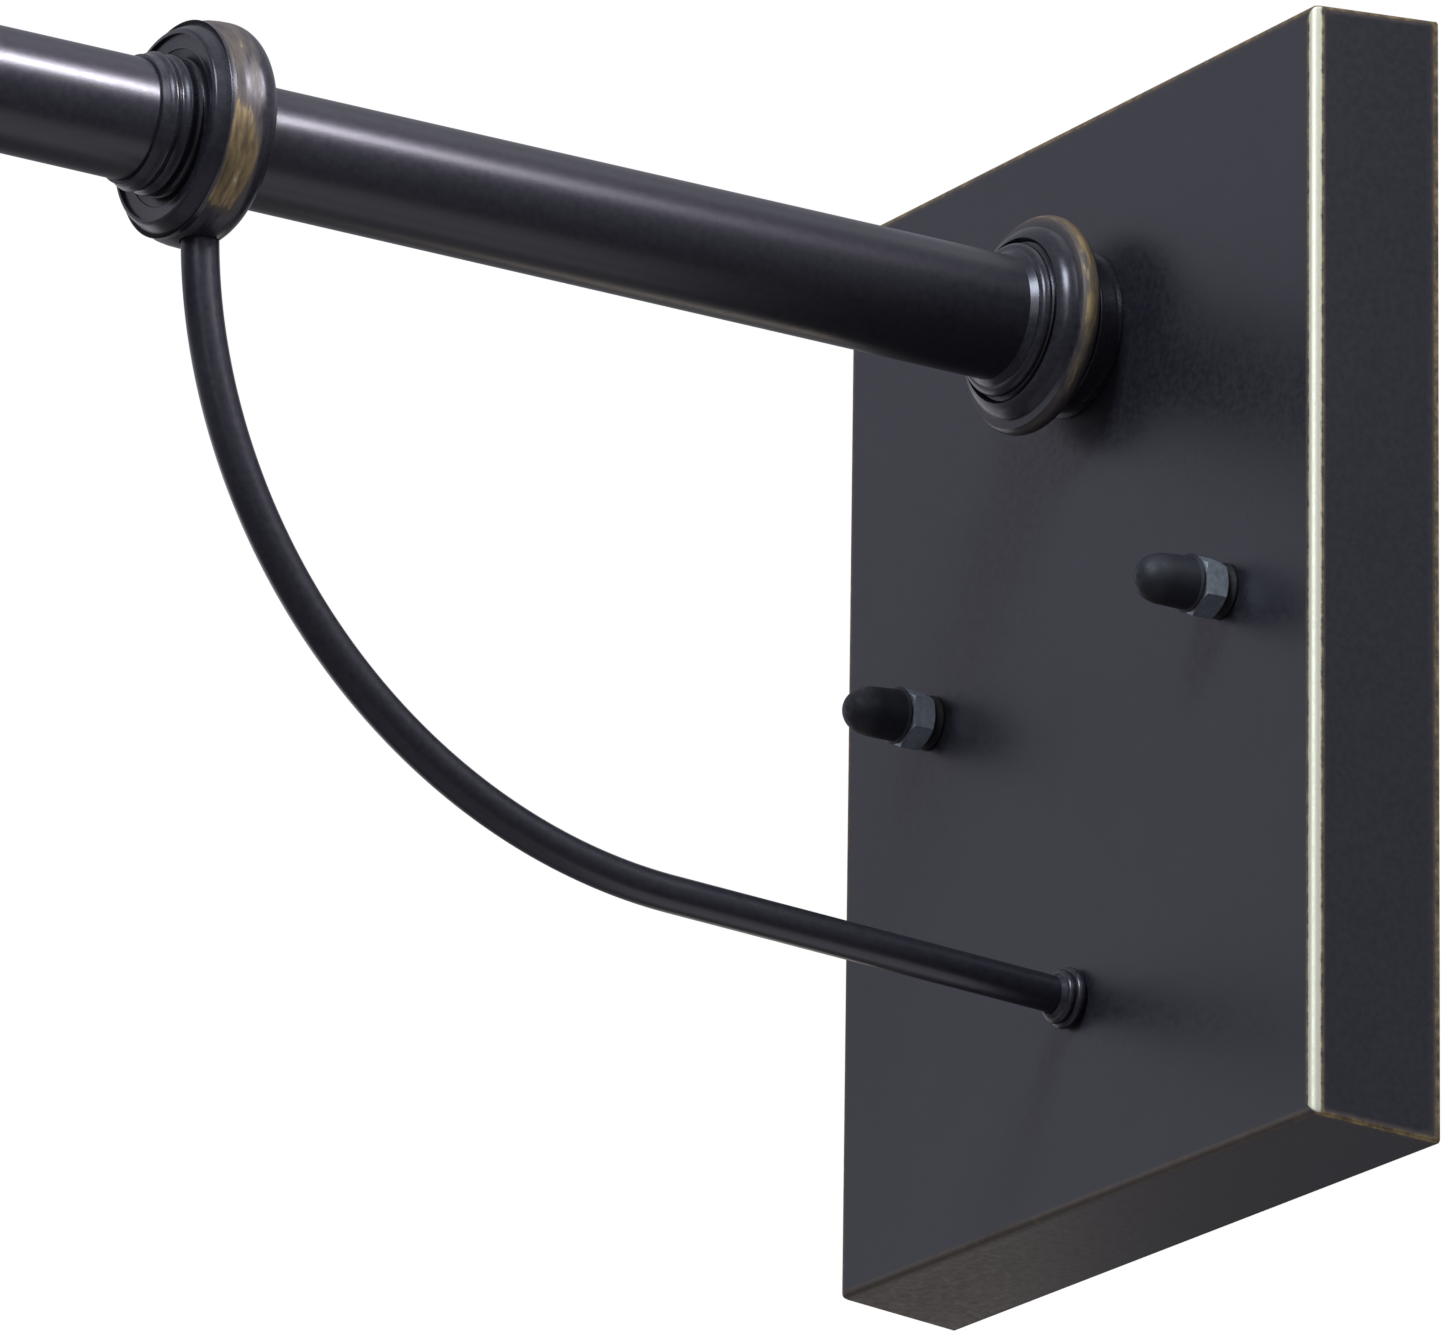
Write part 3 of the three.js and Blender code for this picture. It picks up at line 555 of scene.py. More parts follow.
BRONZE = bronze_finish("bronze")
BRONZE_TUBE = bronze_finish("bronze_tube", (0.29, 0.33))
BRONZE_TURNED = bronze_finish("bronze_turned", (0.25, 0.29), (0.3, 1.6, 0.3), 0.8, 0.0015)
ZINC = metal_finish("zinc", (0.38, 0.44, 0.49), (0.52, 0.59, 0.65), 0.34, bump_mm=0.002, metallic=0.8)
STEEL = metal_finish("steel", (0.40, 0.40, 0.40), (0.58, 0.58, 0.57), 0.34)
LAMP_BRASS = metal_finish("lamp_brass", (0.62, 0.47, 0.22), (0.80, 0.66, 0.38), 0.26)
ALUMINIUM = metal_finish(
    "bright_aluminium", (0.72, 0.73, 0.74), (0.86, 0.87, 0.88), 0.22, 2.0, (0.05, 1, 1), 0.004
)
TUNGSTEN = metal_finish("filament_wire", (0.20, 0.20, 0.20), (0.35, 0.34, 0.33), 0.4, 6.0)
RUBBER = coated_finish(
    "cap_rubber", (0.0070, 0.0080, 0.0130), (0.0130, 0.0145, 0.0220), 0.55, 1.2, 0.012, shine=0.42
)
# Near-black washer material: painted shade, so that the outer washers read as the shaded gap between nut
# and plate.
GAP_SHADE_BLACK = coated_finish("washer_painted_shade", (0.006, 0.006, 0.008), (0.011, 0.011, 0.013), 0.62, shine=0.2)
FIBRE = coated_finish("fibre", (0.09, 0.055, 0.03), (0.16, 0.10, 0.06), 0.75, 2.5, 0.03)
PORCELAIN = coated_finish("porcelain", (0.74, 0.71, 0.64), (0.84, 0.82, 0.76), 0.18, 0.8, 0.01, 0.6)
BLACK_LEAD = coated_finish("black_lead", (0.012, 0.012, 0.013), (0.025, 0.025, 0.027), 0.42)
WHITE_LEAD = coated_finish("white_lead", (0.66, 0.65, 0.60), (0.78, 0.77, 0.73), 0.42)
GREEN_LEAD = coated_finish("green_lead", (0.02, 0.17, 0.05), (0.05, 0.27, 0.09), 0.42)
GREEN_SCREW = metal_finish("green_screw", (0.02, 0.16, 0.06), (0.05, 0.30, 0.11), 0.36)
ORANGE = coated_finish("connector_plastic", (0.74, 0.24, 0.03), (0.80, 0.28, 0.045), 0.38, bump_mm=0.004)
GLASS = glass_finish("lamp_glass")

METALS = (ZINC, STEEL, TUNGSTEN)
SLOTS = {
    RUBBER: "cap_rubber", FIBRE: "fibre", PORCELAIN: "porcelain", ALUMINIUM: "bright_aluminium",
    LAMP_BRASS: "lamp_brass", GLASS: "lamp_glass", GREEN_SCREW: "green_screw", ORANGE: "connector_plastic",
    BLACK_LEAD: "black_lead", WHITE_LEAD: "white_lead", GREEN_LEAD: "green_lead",
    **dict.fromkeys(METALS, "zinc_steel"),
    **dict.fromkeys((BRONZE, BRONZE_TUBE, BRONZE_TURNED, GAP_SHADE_BLACK), "bronze"),
}


def fine(node, bm, material, body="arm", place=(0, 0, 0), towards=(0, 1, 0), sharp=32):
    """The fine mesh that stands for one CAD node."""
    piece(f"{node}_fine", bm, material, body, [node], place, towards, sharp)


# ---------------------------------------------------------------- wall plate


def rectangle_ring(half_width, half_height, radius, steps=6):
    """Points round a rectangle with rounded corners, as (x, z) in order, with more near each corner."""
    points = []
    halves = (half_height - radius, half_width - radius)
    stops = (0.5, 1.2, 2.4, 8.0)
    for quarter, (sx, sz) in enumerate(((1, 1), (-1, 1), (-1, -1), (1, -1))):
        centre = Vector((sx * (half_width - radius), sz * (half_height - radius)))
        arrive = Vector((-math.sin(QUARTER * quarter), math.cos(QUARTER * quarter)))
        leave = Vector((-arrive.y, arrive.x))
        arc = []
        for step in range(steps + 1):
            angle = QUARTER * (quarter + step / steps)
            arc.append(centre + radius * Vector((math.cos(angle), math.sin(angle))))
        half_before, half_after = halves[quarter % 2], halves[(quarter + 1) % 2]
        points += [arc[0] - arrive * stop for stop in reversed(stops) if stop < half_before * 0.9]
        points += arc
        points += [arc[-1] + leave * stop for stop in stops if stop < half_after * 0.9]
        points.append(arc[-1] + leave * half_after)
    return points


def circle_ring(x, z, radius, sides=SMALL_SIDES):
    return [(x + radius * math.cos(a), z + radius * math.sin(a)) for a in angles(sides)]


def enclosed(place, corners, edges):
    """Whether a point lies inside the outer ring and outside the holes, by counting crossed edges."""
    crossed = 0
    for start, end in edges:
        first, second = corners[start], corners[end]
        if (first.y > place.y) != (second.y > place.y):
            share = (place.y - first.y) / (second.y - first.y)
            crossed += place.x < first.x + (second.x - first.x) * share
    return crossed % 2 == 1


def fill_flat(bm, outer, holes):
    """Fills a flat ring of vertices, leaving holes that are rings of vertices too."""
    verts = [*outer, *(vert for hole in holes for vert in hole)]
    edges = []
    start = 0
    for ring in (outer, *holes):
        count = len(ring)
        edges.extend((start + i, start + (i + 1) % count) for i in range(count))
        start += count
    flat = [Vector((vert.co.x, vert.co.z)) for vert in verts]
    _, _, faces, originals, _, _ = delaunay_2d_cdt(flat, edges, [], 1, TINY, True)
    for face in faces:
        corners = [originals[index][0] for index in face]
        centre = sum((flat[corner] for corner in corners), Vector((0, 0))) / len(corners)
        if enclosed(centre, flat, edges):
            bm.faces.new([verts[corner] for corner in corners])


def plate_rings():
    """The pan's wall as rings from the middle of the front, round the edge, and back inside.

    Each ring is (inset from the outer front edge, y, corner radius, wear).
    """
    front, back = PLATE_LOW.y, PLATE_HIGH.y
    edge = 0.9
    rings = [(inset, front, 0.6, wear) for inset, wear in ((4.0, 0.0), (2.2, 0.14), (1.3, 0.42))]
    steps = 7
    for step in range(steps + 1):
        angle = QUARTER * step / steps
        rings.append((edge * (1 - math.sin(angle)), front + edge * (1 - math.cos(angle)), 0.6, 1.0))
    flare = PLATE_FLARE / (back - front)
    outside = [(1.4, 0.45), (2.3, 0.14), (4.0, 0.0), (11.0, 0.0), (19.0, 0.0), (21.6, 0.2), (22.6, 0.5)]
    rings += [(-flare * depth, front + depth, 0.6, wear) for depth, wear in outside]
    rim = 0.35
    rings.append((-PLATE_FLARE, back - rim * 0.6, 0.6, 0.7))
    rings.append((-PLATE_FLARE + rim * 0.3, back, 0.6, 0.7))
    rings.append((-PLATE_FLARE + PLATE_SHEET - rim, back, 0.4, 0.3))
    rings.append((-PLATE_FLARE + PLATE_SHEET, back - rim, 0.4, 0.2))
    inner = front + PLATE_SHEET
    rings.append((PLATE_SHEET - flare * 2.0, inner + 0.6, 0.4, 0.0))
    rings.append((PLATE_SHEET + 0.2, inner + 0.15, 0.4, 0.0))
    rings.append((PLATE_SHEET + 0.8, inner, 0.4, 0.0))
    return rings


def plate_wear_and_sheen(point, wear):
    """The right-hand edge gets the widest and strongest wear, running into the near-white tone that is
    partly a painted highlight, and the left one the least; the underside gets a brown tone that lightens
    towards its left end, a painted warm reflection.
    """
    depth = point.y - PLATE_LOW.y
    spread = PLATE_FLARE * (depth / (PLATE_HIGH.y - PLATE_LOW.y) - 1)
    to_side = PLATE_HIGH.x + spread - abs(point.x)
    to_end = PLATE_HIGH.z + spread - abs(point.z)
    corner = max(0.0, 1 - math.hypot(to_side, to_end) / 1.7)
    # The right-hand edge gets the widest, strongest wear, reaching the near-white tone: partly rubbed
    # brass, partly a painted highlight.
    if to_side < to_end:
        share = 1.1 if point.x > 0 else 0.5
        wear = ramp(wear, 0, 0.6) if point.x > 0 else wear
    else:
        share = 0.52 if point.z > 0 else 0.42
    behind = ramp(depth, 6, 20) * 0.3
    result = max(wear * (share - behind), corner * (0.74 if point.x > 0 else 0.5))
    # Painted warm reflection: the underside gets a brown tone that lightens towards its left end.
    if point.z < 0 and to_end < 0.3 and depth > 1:
        result = max(result, 0.17 + 0.18 * ramp(-point.x, 0, PLATE_HIGH.x) - 0.06 * ramp(depth, 8, 20))
    return result


def backplate():
    bm, layer = new_bmesh()
    half_width = PLATE_HIGH.x - PLATE_FLARE
    half_height = PLATE_HIGH.z - PLATE_FLARE
    rings = []
    for inset, y, radius, wear in plate_rings():
        ring = []
        for x, z in rectangle_ring(half_width - inset, half_height - inset, radius):
            vert = bm.verts.new((x, y, z))
            vert[layer] = plate_wear_and_sheen(vert.co, wear)
            ring.append(vert)
        rings.append(ring)
    bridge_all(bm, rings)
    hole_places = [(ARM_AXIS.x, ARM_AXIS.z, 5.3), (0, middle("brace_ferrule").z, 2.5)]
    hole_places += [(middle(f"stud_{side}").x, 0, 2.38) for side in SIDES_OF]
    outer_holes = []
    inner_holes = []
    for x, z, radius in hole_places:
        for y, store in ((PLATE_LOW.y, outer_holes), (PLATE_LOW.y + PLATE_SHEET, inner_holes)):
            places = [(px, y, pz) for px, pz in circle_ring(x, z, radius)]
            store.append(ring_of(bm, layer, places))
    fill_flat(bm, rings[0], outer_holes)
    fill_flat(bm, rings[-1], inner_holes)
    for first, second in zip(outer_holes, inner_holes):
        bridge(bm, first, second)
    piece("plate_pan", bm, BRONZE, "arm", ["backplate"])


# ---------------------------------------------------------------- arm and brace


def arm_tube():
    low, high = span("arm_tube")
    radius = (high.z - low.z) / 2
    bore = radius - 1.2
    profile = rounded([
        (bore, low.y), (radius, low.y, 0.25), (radius, high.y, 0.25), (bore, high.y), (bore, low.y),
    ])
    fine("arm_tube", revolved(profile), BRONZE_TUBE, place=(0, 0, ARM_AXIS.z))


def arm_flange():
    """The turned rosette, in distances out from the plate."""
    low, high = span("arm_flange")
    foot = PLATE_LOW.y - high.y
    height = PLATE_LOW.y - low.y
    socket = 9.8
    profile = rounded([
        (5.4, foot), (12.9, foot, 0.3), (13.0, 4.0, 0.5), (12.4, 5.2, 0.4), (14.8, 6.3, 0.4),
        *arc_points(15.9, 8.6, 2.1, -QUARTER, QUARTER * 0.56, 14),
        *arc_points(12.4, 9.3, 3.8, QUARTER * 0.2, QUARTER * 0.8, 14),
        (12.75, 12.75, 0.2),
        *arc_points(11.2, 13.4, 1.35, -QUARTER * 0.17, QUARTER, 12),
        (socket, height, 0.2), (socket, 5.0), (5.4, 5.0), (5.4, foot),
    ])
    profile = [(r, -out, 0) for r, out, _ in profile]
    bm = rubbed(revolved(profile, 160), flange_wear)
    fine("arm_flange", bm, BRONZE_TURNED, place=(0, PLATE_LOW.y, ARM_AXIS.z))


def flange_wear(point):
    """The crest of the flange is rubbed in a thin line, most on its upper right."""
    crest = Vector((17.9, 9.0))
    away = (Vector((math.hypot(point.x, point.z), -point.y)) - crest).length
    return max(0.0, (0.20 + 0.38 * facing(point, 32)) * (1 - (away / 2.3) ** 2))


def collar_wear(point):
    """The collar's broad rim is browned all along its right side and rubbed bare at its lower right."""
    depth = -point.y
    rim = ramp(depth, 2.6, 5.2) * ramp(-depth, -9.3, -8.5) * ramp(facing(point, 30), 0.44, 0.54)
    brown = ramp(facing(point, 12), 0.5, 0.8)
    bare = ramp(facing(point, 4 * depth - 70), 0.84, 0.97)
    return rim * (0.34 * brown + 0.34 * bare)


def brace_collar():
    """A thick disc with a full, rubbed rim, a bevel, a dished face and two beads on its neck."""
    low, high = span("brace_collar")
    radius = (high.x - low.x) / 2
    inner_face = high.y
    front = -11.0
    neck = []
    for step in range(33):
        share = step / 32
        bead = 0.3 * math.cos(4 * math.pi * (share - 0.3))
        neck.append((11.0 - 0.3 * share + bead, front - 0.3 - 5.2 * share))
    profile = rounded([
        (9.75, 0), *arc_points(radius - 4.2, -4.2, 4.2, QUARTER, 0, 14),
        (radius - 0.06, -5.8), (radius - 0.25, -7.2), (radius - 0.7, -8.6),
        (radius - 1.1, front + 1.9, 0.4), (radius - 2.9, front, 0.4), (12.7, front + 0.5, 1.2),
        (11.0, front + 0.1, 0.3), *neck, (9.75, low.y - inner_face, 0.1), (9.75, 0),
    ], 10)
    rod_low, rod_high = span("brace_rod")
    rod_radius = (rod_high.x - rod_low.x) / 2
    socket = cylinder(rod_radius + 0.2, -radius - 2, rod_high.z - ARM_AXIS.z + 0.3)
    socket = moved(socket, (0, rod_low.y + rod_radius - inner_face, 0), (0, 0, 1))
    bm = combined(rubbed(revolved(profile, 160), collar_wear), socket, "DIFFERENCE")
    fine("brace_collar", bm, BRONZE_TURNED, place=(0, inner_face, ARM_AXIS.z))


def brace_rod():
    """The rod: a bend that starts upright in the collar, then a straight that falls to the plate."""
    low, high = span("brace_rod")
    radius = (high.x - low.x) / 2
    centre = Vector((0, low.y + radius + ROD_BEND, high.z))
    turn = QUARTER - ROD_SLOPE
    steps = 120
    path = []
    for step in range(steps + 1):
        angle = math.pi + turn * step / steps
        path.append(centre + ROD_BEND * Vector((0, math.cos(angle), math.sin(angle))))
    fall = Vector((0, math.cos(ROD_SLOPE), -math.sin(ROD_SLOPE)))
    length = (high.y - path[-1].y) / fall.y
    straight = 30
    path += [path[-1] + fall * (length * (step + 1) / straight) for step in range(straight)]
    fine("brace_rod", swept(path, radius, 48), BRONZE_TUBE)


def brace_ferrule():
    """A ring against the plate and a smaller bead round the rod's foot."""
    low, high = span("brace_ferrule")
    radius = (high.x - low.x) / 2
    tail = high.y - PLATE_LOW.y
    profile = rounded([
        (0, tail), (2.2, tail, 0.4), (2.2, -0.3), (radius - 0.4, -0.3, 0.1),
        *arc_points(radius - 0.85, -1.15, 0.85, QUARTER * 0.9, -QUARTER, 10),
        *arc_points(radius - 1.35, -2.55, 0.75, QUARTER * 0.8, -QUARTER, 10),
        (3.4, -3.2, 0.1), (3.4, -1.3), (0, -1.3),
    ])
    place = (0, PLATE_LOW.y, middle("brace_ferrule").z)
    fine("brace_ferrule", revolved(profile), BRONZE_TURNED, place=place)


# ---------------------------------------------------------------- nuts, studs and other fixings


def hex_radius(angle, flats):
    """Distance from the middle to a hexagon's side, with a corner at angle 0."""
    within = (angle + math.pi / 6) % (math.pi / 3) - math.pi / 6
    return flats / 2 / math.cos(math.pi / 6 - abs(within))


def hexagon_nut(flats, height, bore, sides=96):
    """A chamfered hexagon nut about +Y between y = 0 and height, with countersunk threads."""
    bm, layer = new_bmesh()
    shoulder = flats * 0.475
    slope = math.tan(math.radians(28))

    def round_ring(radius, y):
        return ring_around(bm, layer, sides, lambda _: (radius, y))

    def hex_ring(end, inwards):
        def shape(angle):
            radius = hex_radius(angle, flats)
            return radius, end + inwards * max(0.0, radius - shoulder) * slope

        return ring_around(bm, layer, sides, shape)

    sink = 0.45
    rings = [
        round_ring(bore, sink), round_ring(bore + sink, 0), round_ring(shoulder, 0), hex_ring(0, 1),
        hex_ring(height, -1), round_ring(shoulder, height), round_ring(bore + sink, height),
        round_ring(bore, height - sink),
    ]
    turns = 5
    pitch = (height - 2 * sink) / turns
    for turn in range(turns):
        y = height - sink - pitch * turn
        rings.append(round_ring(bore + 0.22, y - pitch * 0.5))
        if turn < turns - 1:
            rings.append(round_ring(bore, y - pitch))
    bridge_all(bm, [*rings, rings[0]])
    return bm


def nut(node, material, bore, body="arm"):
    """A nut read from its node, turned so that its corners point the way the node's do."""
    low, high = span(node)
    across = high - low
    bm = hexagon_nut(min(across.x, across.z), across.y, bore)
    if across.x < across.z:
        bm.transform(Matrix.Rotation(math.pi / 6, 4, "Y"))
    place = (low.x + high.x) / 2, low.y, (low.z + high.z) / 2
    fine(node, bm, material, body, place)


def thread(radius, start, end, pitch, depth=0.35, sides=40, per_turn=6):
    """A threaded rod about +Y with chamfered ends."""
    bm, layer = new_bmesh()
    chamfer = 0.7
    rings = [ring_of(bm, layer, [(0, start, 0)])]
    rows = round((end - start) / pitch * per_turn)
    for row in range(rows + 1):
        y = start + (end - start) * row / rows
        limit = radius - max(0.0, chamfer - min(y - start, end - y)) * 0.8

        def shape(angle):
            phase = (y / pitch + angle / (2 * math.pi)) % 1.0
            return min(limit, radius - depth * abs(2 * phase - 1)), y

        rings.append(ring_around(bm, layer, sides, shape))
    rings.append(ring_of(bm, layer, [(0, end, 0)]))
    bridge_all(bm, rings)
    return bm


def stud(side):
    node = f"stud_{side}"
    low, high = span(node)
    bm = thread((high.x - low.x) / 2, low.y, high.y, 0.794)
    fine(node, bm, ZINC, place=(middle(node).x, 0, 0), sharp=60)


def washer(node, inner, material, body="arm", along=1, trim=0.0):
    """A flat or spring washer read from its node; along is the index of its axis."""
    low, high = span(node)
    thickness = high[along] - low[along]
    across = (along + 1) % 3
    radius = (high[across] - low[across]) / 2 - trim
    place = (low + high) / 2
    place[along] = low[along]
    edge = min(0.15, thickness / 4)
    profile = rounded([
        (inner, 0, edge), (radius, 0, edge), (radius, thickness, edge),
        (inner, thickness, edge), (inner, 0, edge),
    ], 3)
    towards = [0, 0, 0]
    towards[along] = 1
    fine(node, revolved(profile, SMALL_SIDES), material, body, place, towards)


def rubber_cap(side):
    """A soft bullet-shaped cap, widest at its mouth, that droops a little on its stud."""
    node = f"rubber_cap_{side}"
    low, high = span(node)
    radius = (high.x - low.x) / 2
    length = high.y - low.y
    droop = math.radians(2.5)
    hang = 3.7
    corners = [(0, -length + 2.5), (2.75, -length + 2.5), (2.75, 0), (radius - 0.15, 0, 0.5)]
    for step in range(1, 25):
        share = step / 24
        taper = 1 - 0.10 * share
        dome = max(0.0, 1 - max(0.0, (share - 0.48) / 0.52) ** 2.4) ** 0.5
        corners.append(((radius - 0.1) * taper * dome, -length * share))
    corners[-1] = (0, -length)
    bm = revolved(rounded(corners), 96)
    pivot = Matrix.Translation((0, -hang, 0))
    bm.transform(pivot @ Matrix.Rotation(droop, 4, "X") @ pivot.inverted())
    fine(node, bm, RUBBER, place=(middle(node).x, high.y, 0), sharp=50)


def build_fixings():
    for side in SIDES_OF:
        stud(side)
        nut(f"inner_nut_{side}", ZINC, 2.2)
        nut(f"outer_nut_{side}", ZINC, 2.2)
        # The outer washer is trimmed and near-black: painted shade for the gap between nut and plate.
        washer(f"outer_washer_{side}", 2.3, GAP_SHADE_BLACK, trim=0.5)
        rubber_cap(side)
    nut("arm_lock_nut", STEEL, 5.1)
    nut("brace_nut", STEEL, 2.3)
    washer("arm_lock_washer", 5.3, STEEL)
    washer("brace_washer", 2.5, STEEL)


def slotted_screw(node, body, towards, material, head, head_height, shank, length):
    """A screw with a low domed, slotted head that sits on y = 0 and a threaded shank behind it."""
    place = middle(node)
    low, high = span(node)
    along = max(range(3), key=lambda axis: abs(towards[axis]))
    tip = high if towards[along] > 0 else low
    place[along] = tip[along] - towards[along] * head_height
    corners = [(0, head_height)]
    for step in range(1, 14):
        angle = QUARTER * step / 14
        corners.append((head * math.sin(angle), head_height * math.cos(angle) ** 0.8))
    corners += [(head, 0.15), (head - 0.15, 0), (shank, 0), (shank, -length), (0, -length)]
    cut = box((-head - 1, head_height * 0.5, -0.45), (head + 1, head_height + 1, 0.45))
    bm = combined(revolved(rounded(corners), 72), cut, "DIFFERENCE")
    fine(node, bm, material, body, place, towards)


def slot_outline(x, length, width):
    half = (length - width) / 2
    radius = width / 2
    arc = [(half + a, b) for a, b in arc_points(0, 0, radius, -QUARTER, QUARTER, 16)]
    return [(x + along, across) for along, across in arc] + [(x - along, -across) for along, across in arc]


def crossbar():
    low, high = span("crossbar")
    outline = rectangle_ring(high.x, high.z, 3.0)
    holes = [slot_outline(side * 30.95, 13.5, 5.0) for side in SIDES_OF.values()]
    holes += [circle_ring(middle(f"stud_{side}").x, 0, 2.3, 32) for side in SIDES_OF]
    holes.append(circle_ring(middle("ground_screw").x, 0, 1.8, 32))
    bm = flat_plate(outline, holes, low.y, high.y, 0.25)
    fine("crossbar", bm, ZINC)


def ground_screw():
    """A hexagon screw with a slot and a washer face."""
    low, high = span("ground_screw")
    head = 3.2
    hexagon = hexagon_nut(high.z - low.z, head - 0.7, 0.5)
    plug = cylinder(1.5, 0.3, head - 0.5, 32)
    flange = revolved(rounded([(0, 0), (4.5, 0, 0.2), (4.3, 0.8, 0.2), (0, 0.9)]), 64)
    slot_cut = box((-6, -2.0, -0.5), (6, 0.8, 0.5))
    bm = combined(combined(hexagon, plug, "UNION"), slot_cut, "DIFFERENCE")
    bm = combined(moved(bm, (0, low.y, 0)), moved(flange, (0, low.y + head, 0), (0, -1, 0)), "UNION")
    shank = moved(thread(1.75, 0, high.y - low.y - head + 0.2, 0.7, 0.25, 24), (0, low.y + head - 0.2, 0))
    bm = combined(bm, shank, "UNION")
    fine("ground_screw", bm, GREEN_SCREW, place=(middle("ground_screw").x, 0, 0))


def arm_nipple():
    """The hollow threaded nipple."""
    low, high = span("arm_nipple")
    bm = thread(4.95, low.y, high.y, 0.94, 0.45, 64)
    bm = combined(bm, cylinder(3.6, low.y - 1, high.y + 1), "DIFFERENCE")
    fine("arm_nipple", bm, ZINC, place=(0, 0, ARM_AXIS.z), sharp=60)


# ---------------------------------------------------------------- leads and connectors

LEAD_RADIUS = 1.0
LEAD_APART = 1.7
DRUM_LEAD_X = 2.4
DRUM_LEAD_PITCH = 2.8
CONNECTOR_TOP = 41.0
CONNECTOR_X = 24.0


def arm_lead_run(angle, drum_place):
    """The part of a lead that the arm holds, from the swivel's drum to the nipple's end."""
    front = PLATE_LOW.y
    run = [(-DRUM_LEAD_X, PIVOT.y + y, ARM_AXIS.z + DRUM_LEAD_PITCH * drum_place) for y in (3.4, 11.8)]
    x, z = LEAD_APART * math.cos(angle), LEAD_APART * math.sin(angle)
    inside = (PIVOT.y + 24, PIVOT.y + 60, front - 60, front - 8, front + 8.5)
    return [*run, *((x, y, ARM_AXIS.z + z) for y in inside)], x, z


def lead(node, points, material, body="arm"):
    fine(node, swept(smooth_path(points, 150), LEAD_RADIUS, 20), material, body)


def connector(node):
    """A twist-on connector: a fluted cone with a round skirt at its mouth."""
    low, high = span(node)
    length = high.z - low.z
    bm, layer = new_bmesh()
    sides = 96
    outline = [(1.6, -6), (1.6, 0), (4.6, 0), (5.0, -0.4), (5.0, -4.4), (4.8, -5.2)]
    outline += [(4.8 - 1.5 * i / 8, -5.2 - (length - 7) * i / 8) for i in range(1, 9)]
    outline += [(3.0, -length + 0.7), (2.2, -length + 0.15)]
    rings = [ring_of(bm, layer, [(0, outline[0][1], 0)])]
    for radius, along in outline:
        flute = 0.22 if -length + 1.2 < along < -5.0 else 0.0

        def shape(angle):
            return radius - flute * (1 + math.cos(12 * angle)), along

        rings.append(ring_around(bm, layer, sides, shape))
    rings.append(ring_of(bm, layer, [(0, -length, 0)]))
    bridge_all(bm, rings)
    place = middle(node)
    fine(node, bm, ORANGE, place=(place.x, place.y, high.z), towards=(0, 0, 1))


def build_leads():
    supply = {
        "live": (-2 * math.pi / 3, -1, -1, BLACK_LEAD),
        "neutral": (0, 0, 1, WHITE_LEAD),
    }
    for word, (angle, drum_place, side, material) in supply.items():
        run, x, z = arm_lead_run(angle, drum_place)
        run += [
            (x + side * 3, -11, ARM_AXIS.z + z + 0.5), (side * CONNECTOR_X * 0.6, -9, ARM_AXIS.z - 1),
            (side * CONNECTOR_X, -10.5, ARM_AXIS.z - 6), (side * CONNECTOR_X, -11, CONNECTOR_TOP),
            (side * CONNECTOR_X, -11, CONNECTOR_TOP - 6),
        ]
        lead(f"lead_{word}", run, material)
        connector(f"connector_{word}")
    run, _, _ = arm_lead_run(2 * math.pi / 3, 1)
    screw_x = middle("ground_screw").x
    run += [
        (0, -11, ARM_AXIS.z + 0.6), (0, -8, ARM_AXIS.z - 8), (-2, -8, 30),
        (screw_x + 1, -7, 18), (screw_x, -5, 10), (screw_x, -4.3, 5.6),
    ]
    lead("lead_ground", run, GREEN_LEAD)


# ---------------------------------------------------------------- swivel

DRUM_RADIUS = 11.0
DRUM_HALF = 8.5
DRUM_FACE = 0.8
SHOULDER = (11.8, 15.0)


def swivel_half(node, body, stem_radius, stem_bore, stem_end):
    """A drum on one side, a web, a turned shoulder and a stem; the head's half is turned round."""
    drum_profile = rounded([
        (0, -DRUM_HALF), (DRUM_RADIUS - 2.6, -DRUM_HALF, 0.3), (DRUM_RADIUS - 2.0, -DRUM_HALF + 0.8, 0.3),
        (DRUM_RADIUS, -DRUM_HALF + 0.8, 0.8, 0.75), (DRUM_RADIUS, -DRUM_FACE, 0.3, 0.5), (0, -DRUM_FACE),
    ])
    bm = moved(revolved(drum_profile), towards=(1, 0, 0))
    web = box((-DRUM_HALF + 1.4, 0, -8.4), (-DRUM_FACE, SHOULDER[0] + 0.6, 8.4))
    bmesh.ops.bevel(web, geom=web.edges[:], offset=0.7, segments=3, affect="EDGES", profile=0.5)
    bm = combined(bm, web, "UNION")
    radius = span("arm_tube")[1].z - ARM_AXIS.z
    neck = rounded([
        (0, SHOULDER[0]), (radius - 0.9, SHOULDER[0], 0.3), (radius, SHOULDER[0] + 0.8, 0.4, 0.7),
        (radius, SHOULDER[1], 0.35, 0.5), (stem_radius, SHOULDER[1]),
        (stem_radius, stem_end, 0.4), (0, stem_end),
    ])
    bm = combined(bm, revolved(neck), "UNION")
    bm = combined(bm, cylinder(stem_bore, 5, stem_end + 1), "DIFFERENCE")
    for bore, start in ((8.0, -DRUM_HALF + 2), (2.3, -DRUM_HALF - 1)):
        bm = combined(bm, moved(cylinder(bore, start, 0), towards=(1, 0, 0)), "DIFFERENCE")
    if body == "head":
        bm.transform(Matrix.Rotation(math.pi, 4, "Z"))
    fine(node, bm, BRONZE_TURNED, body, PIVOT)


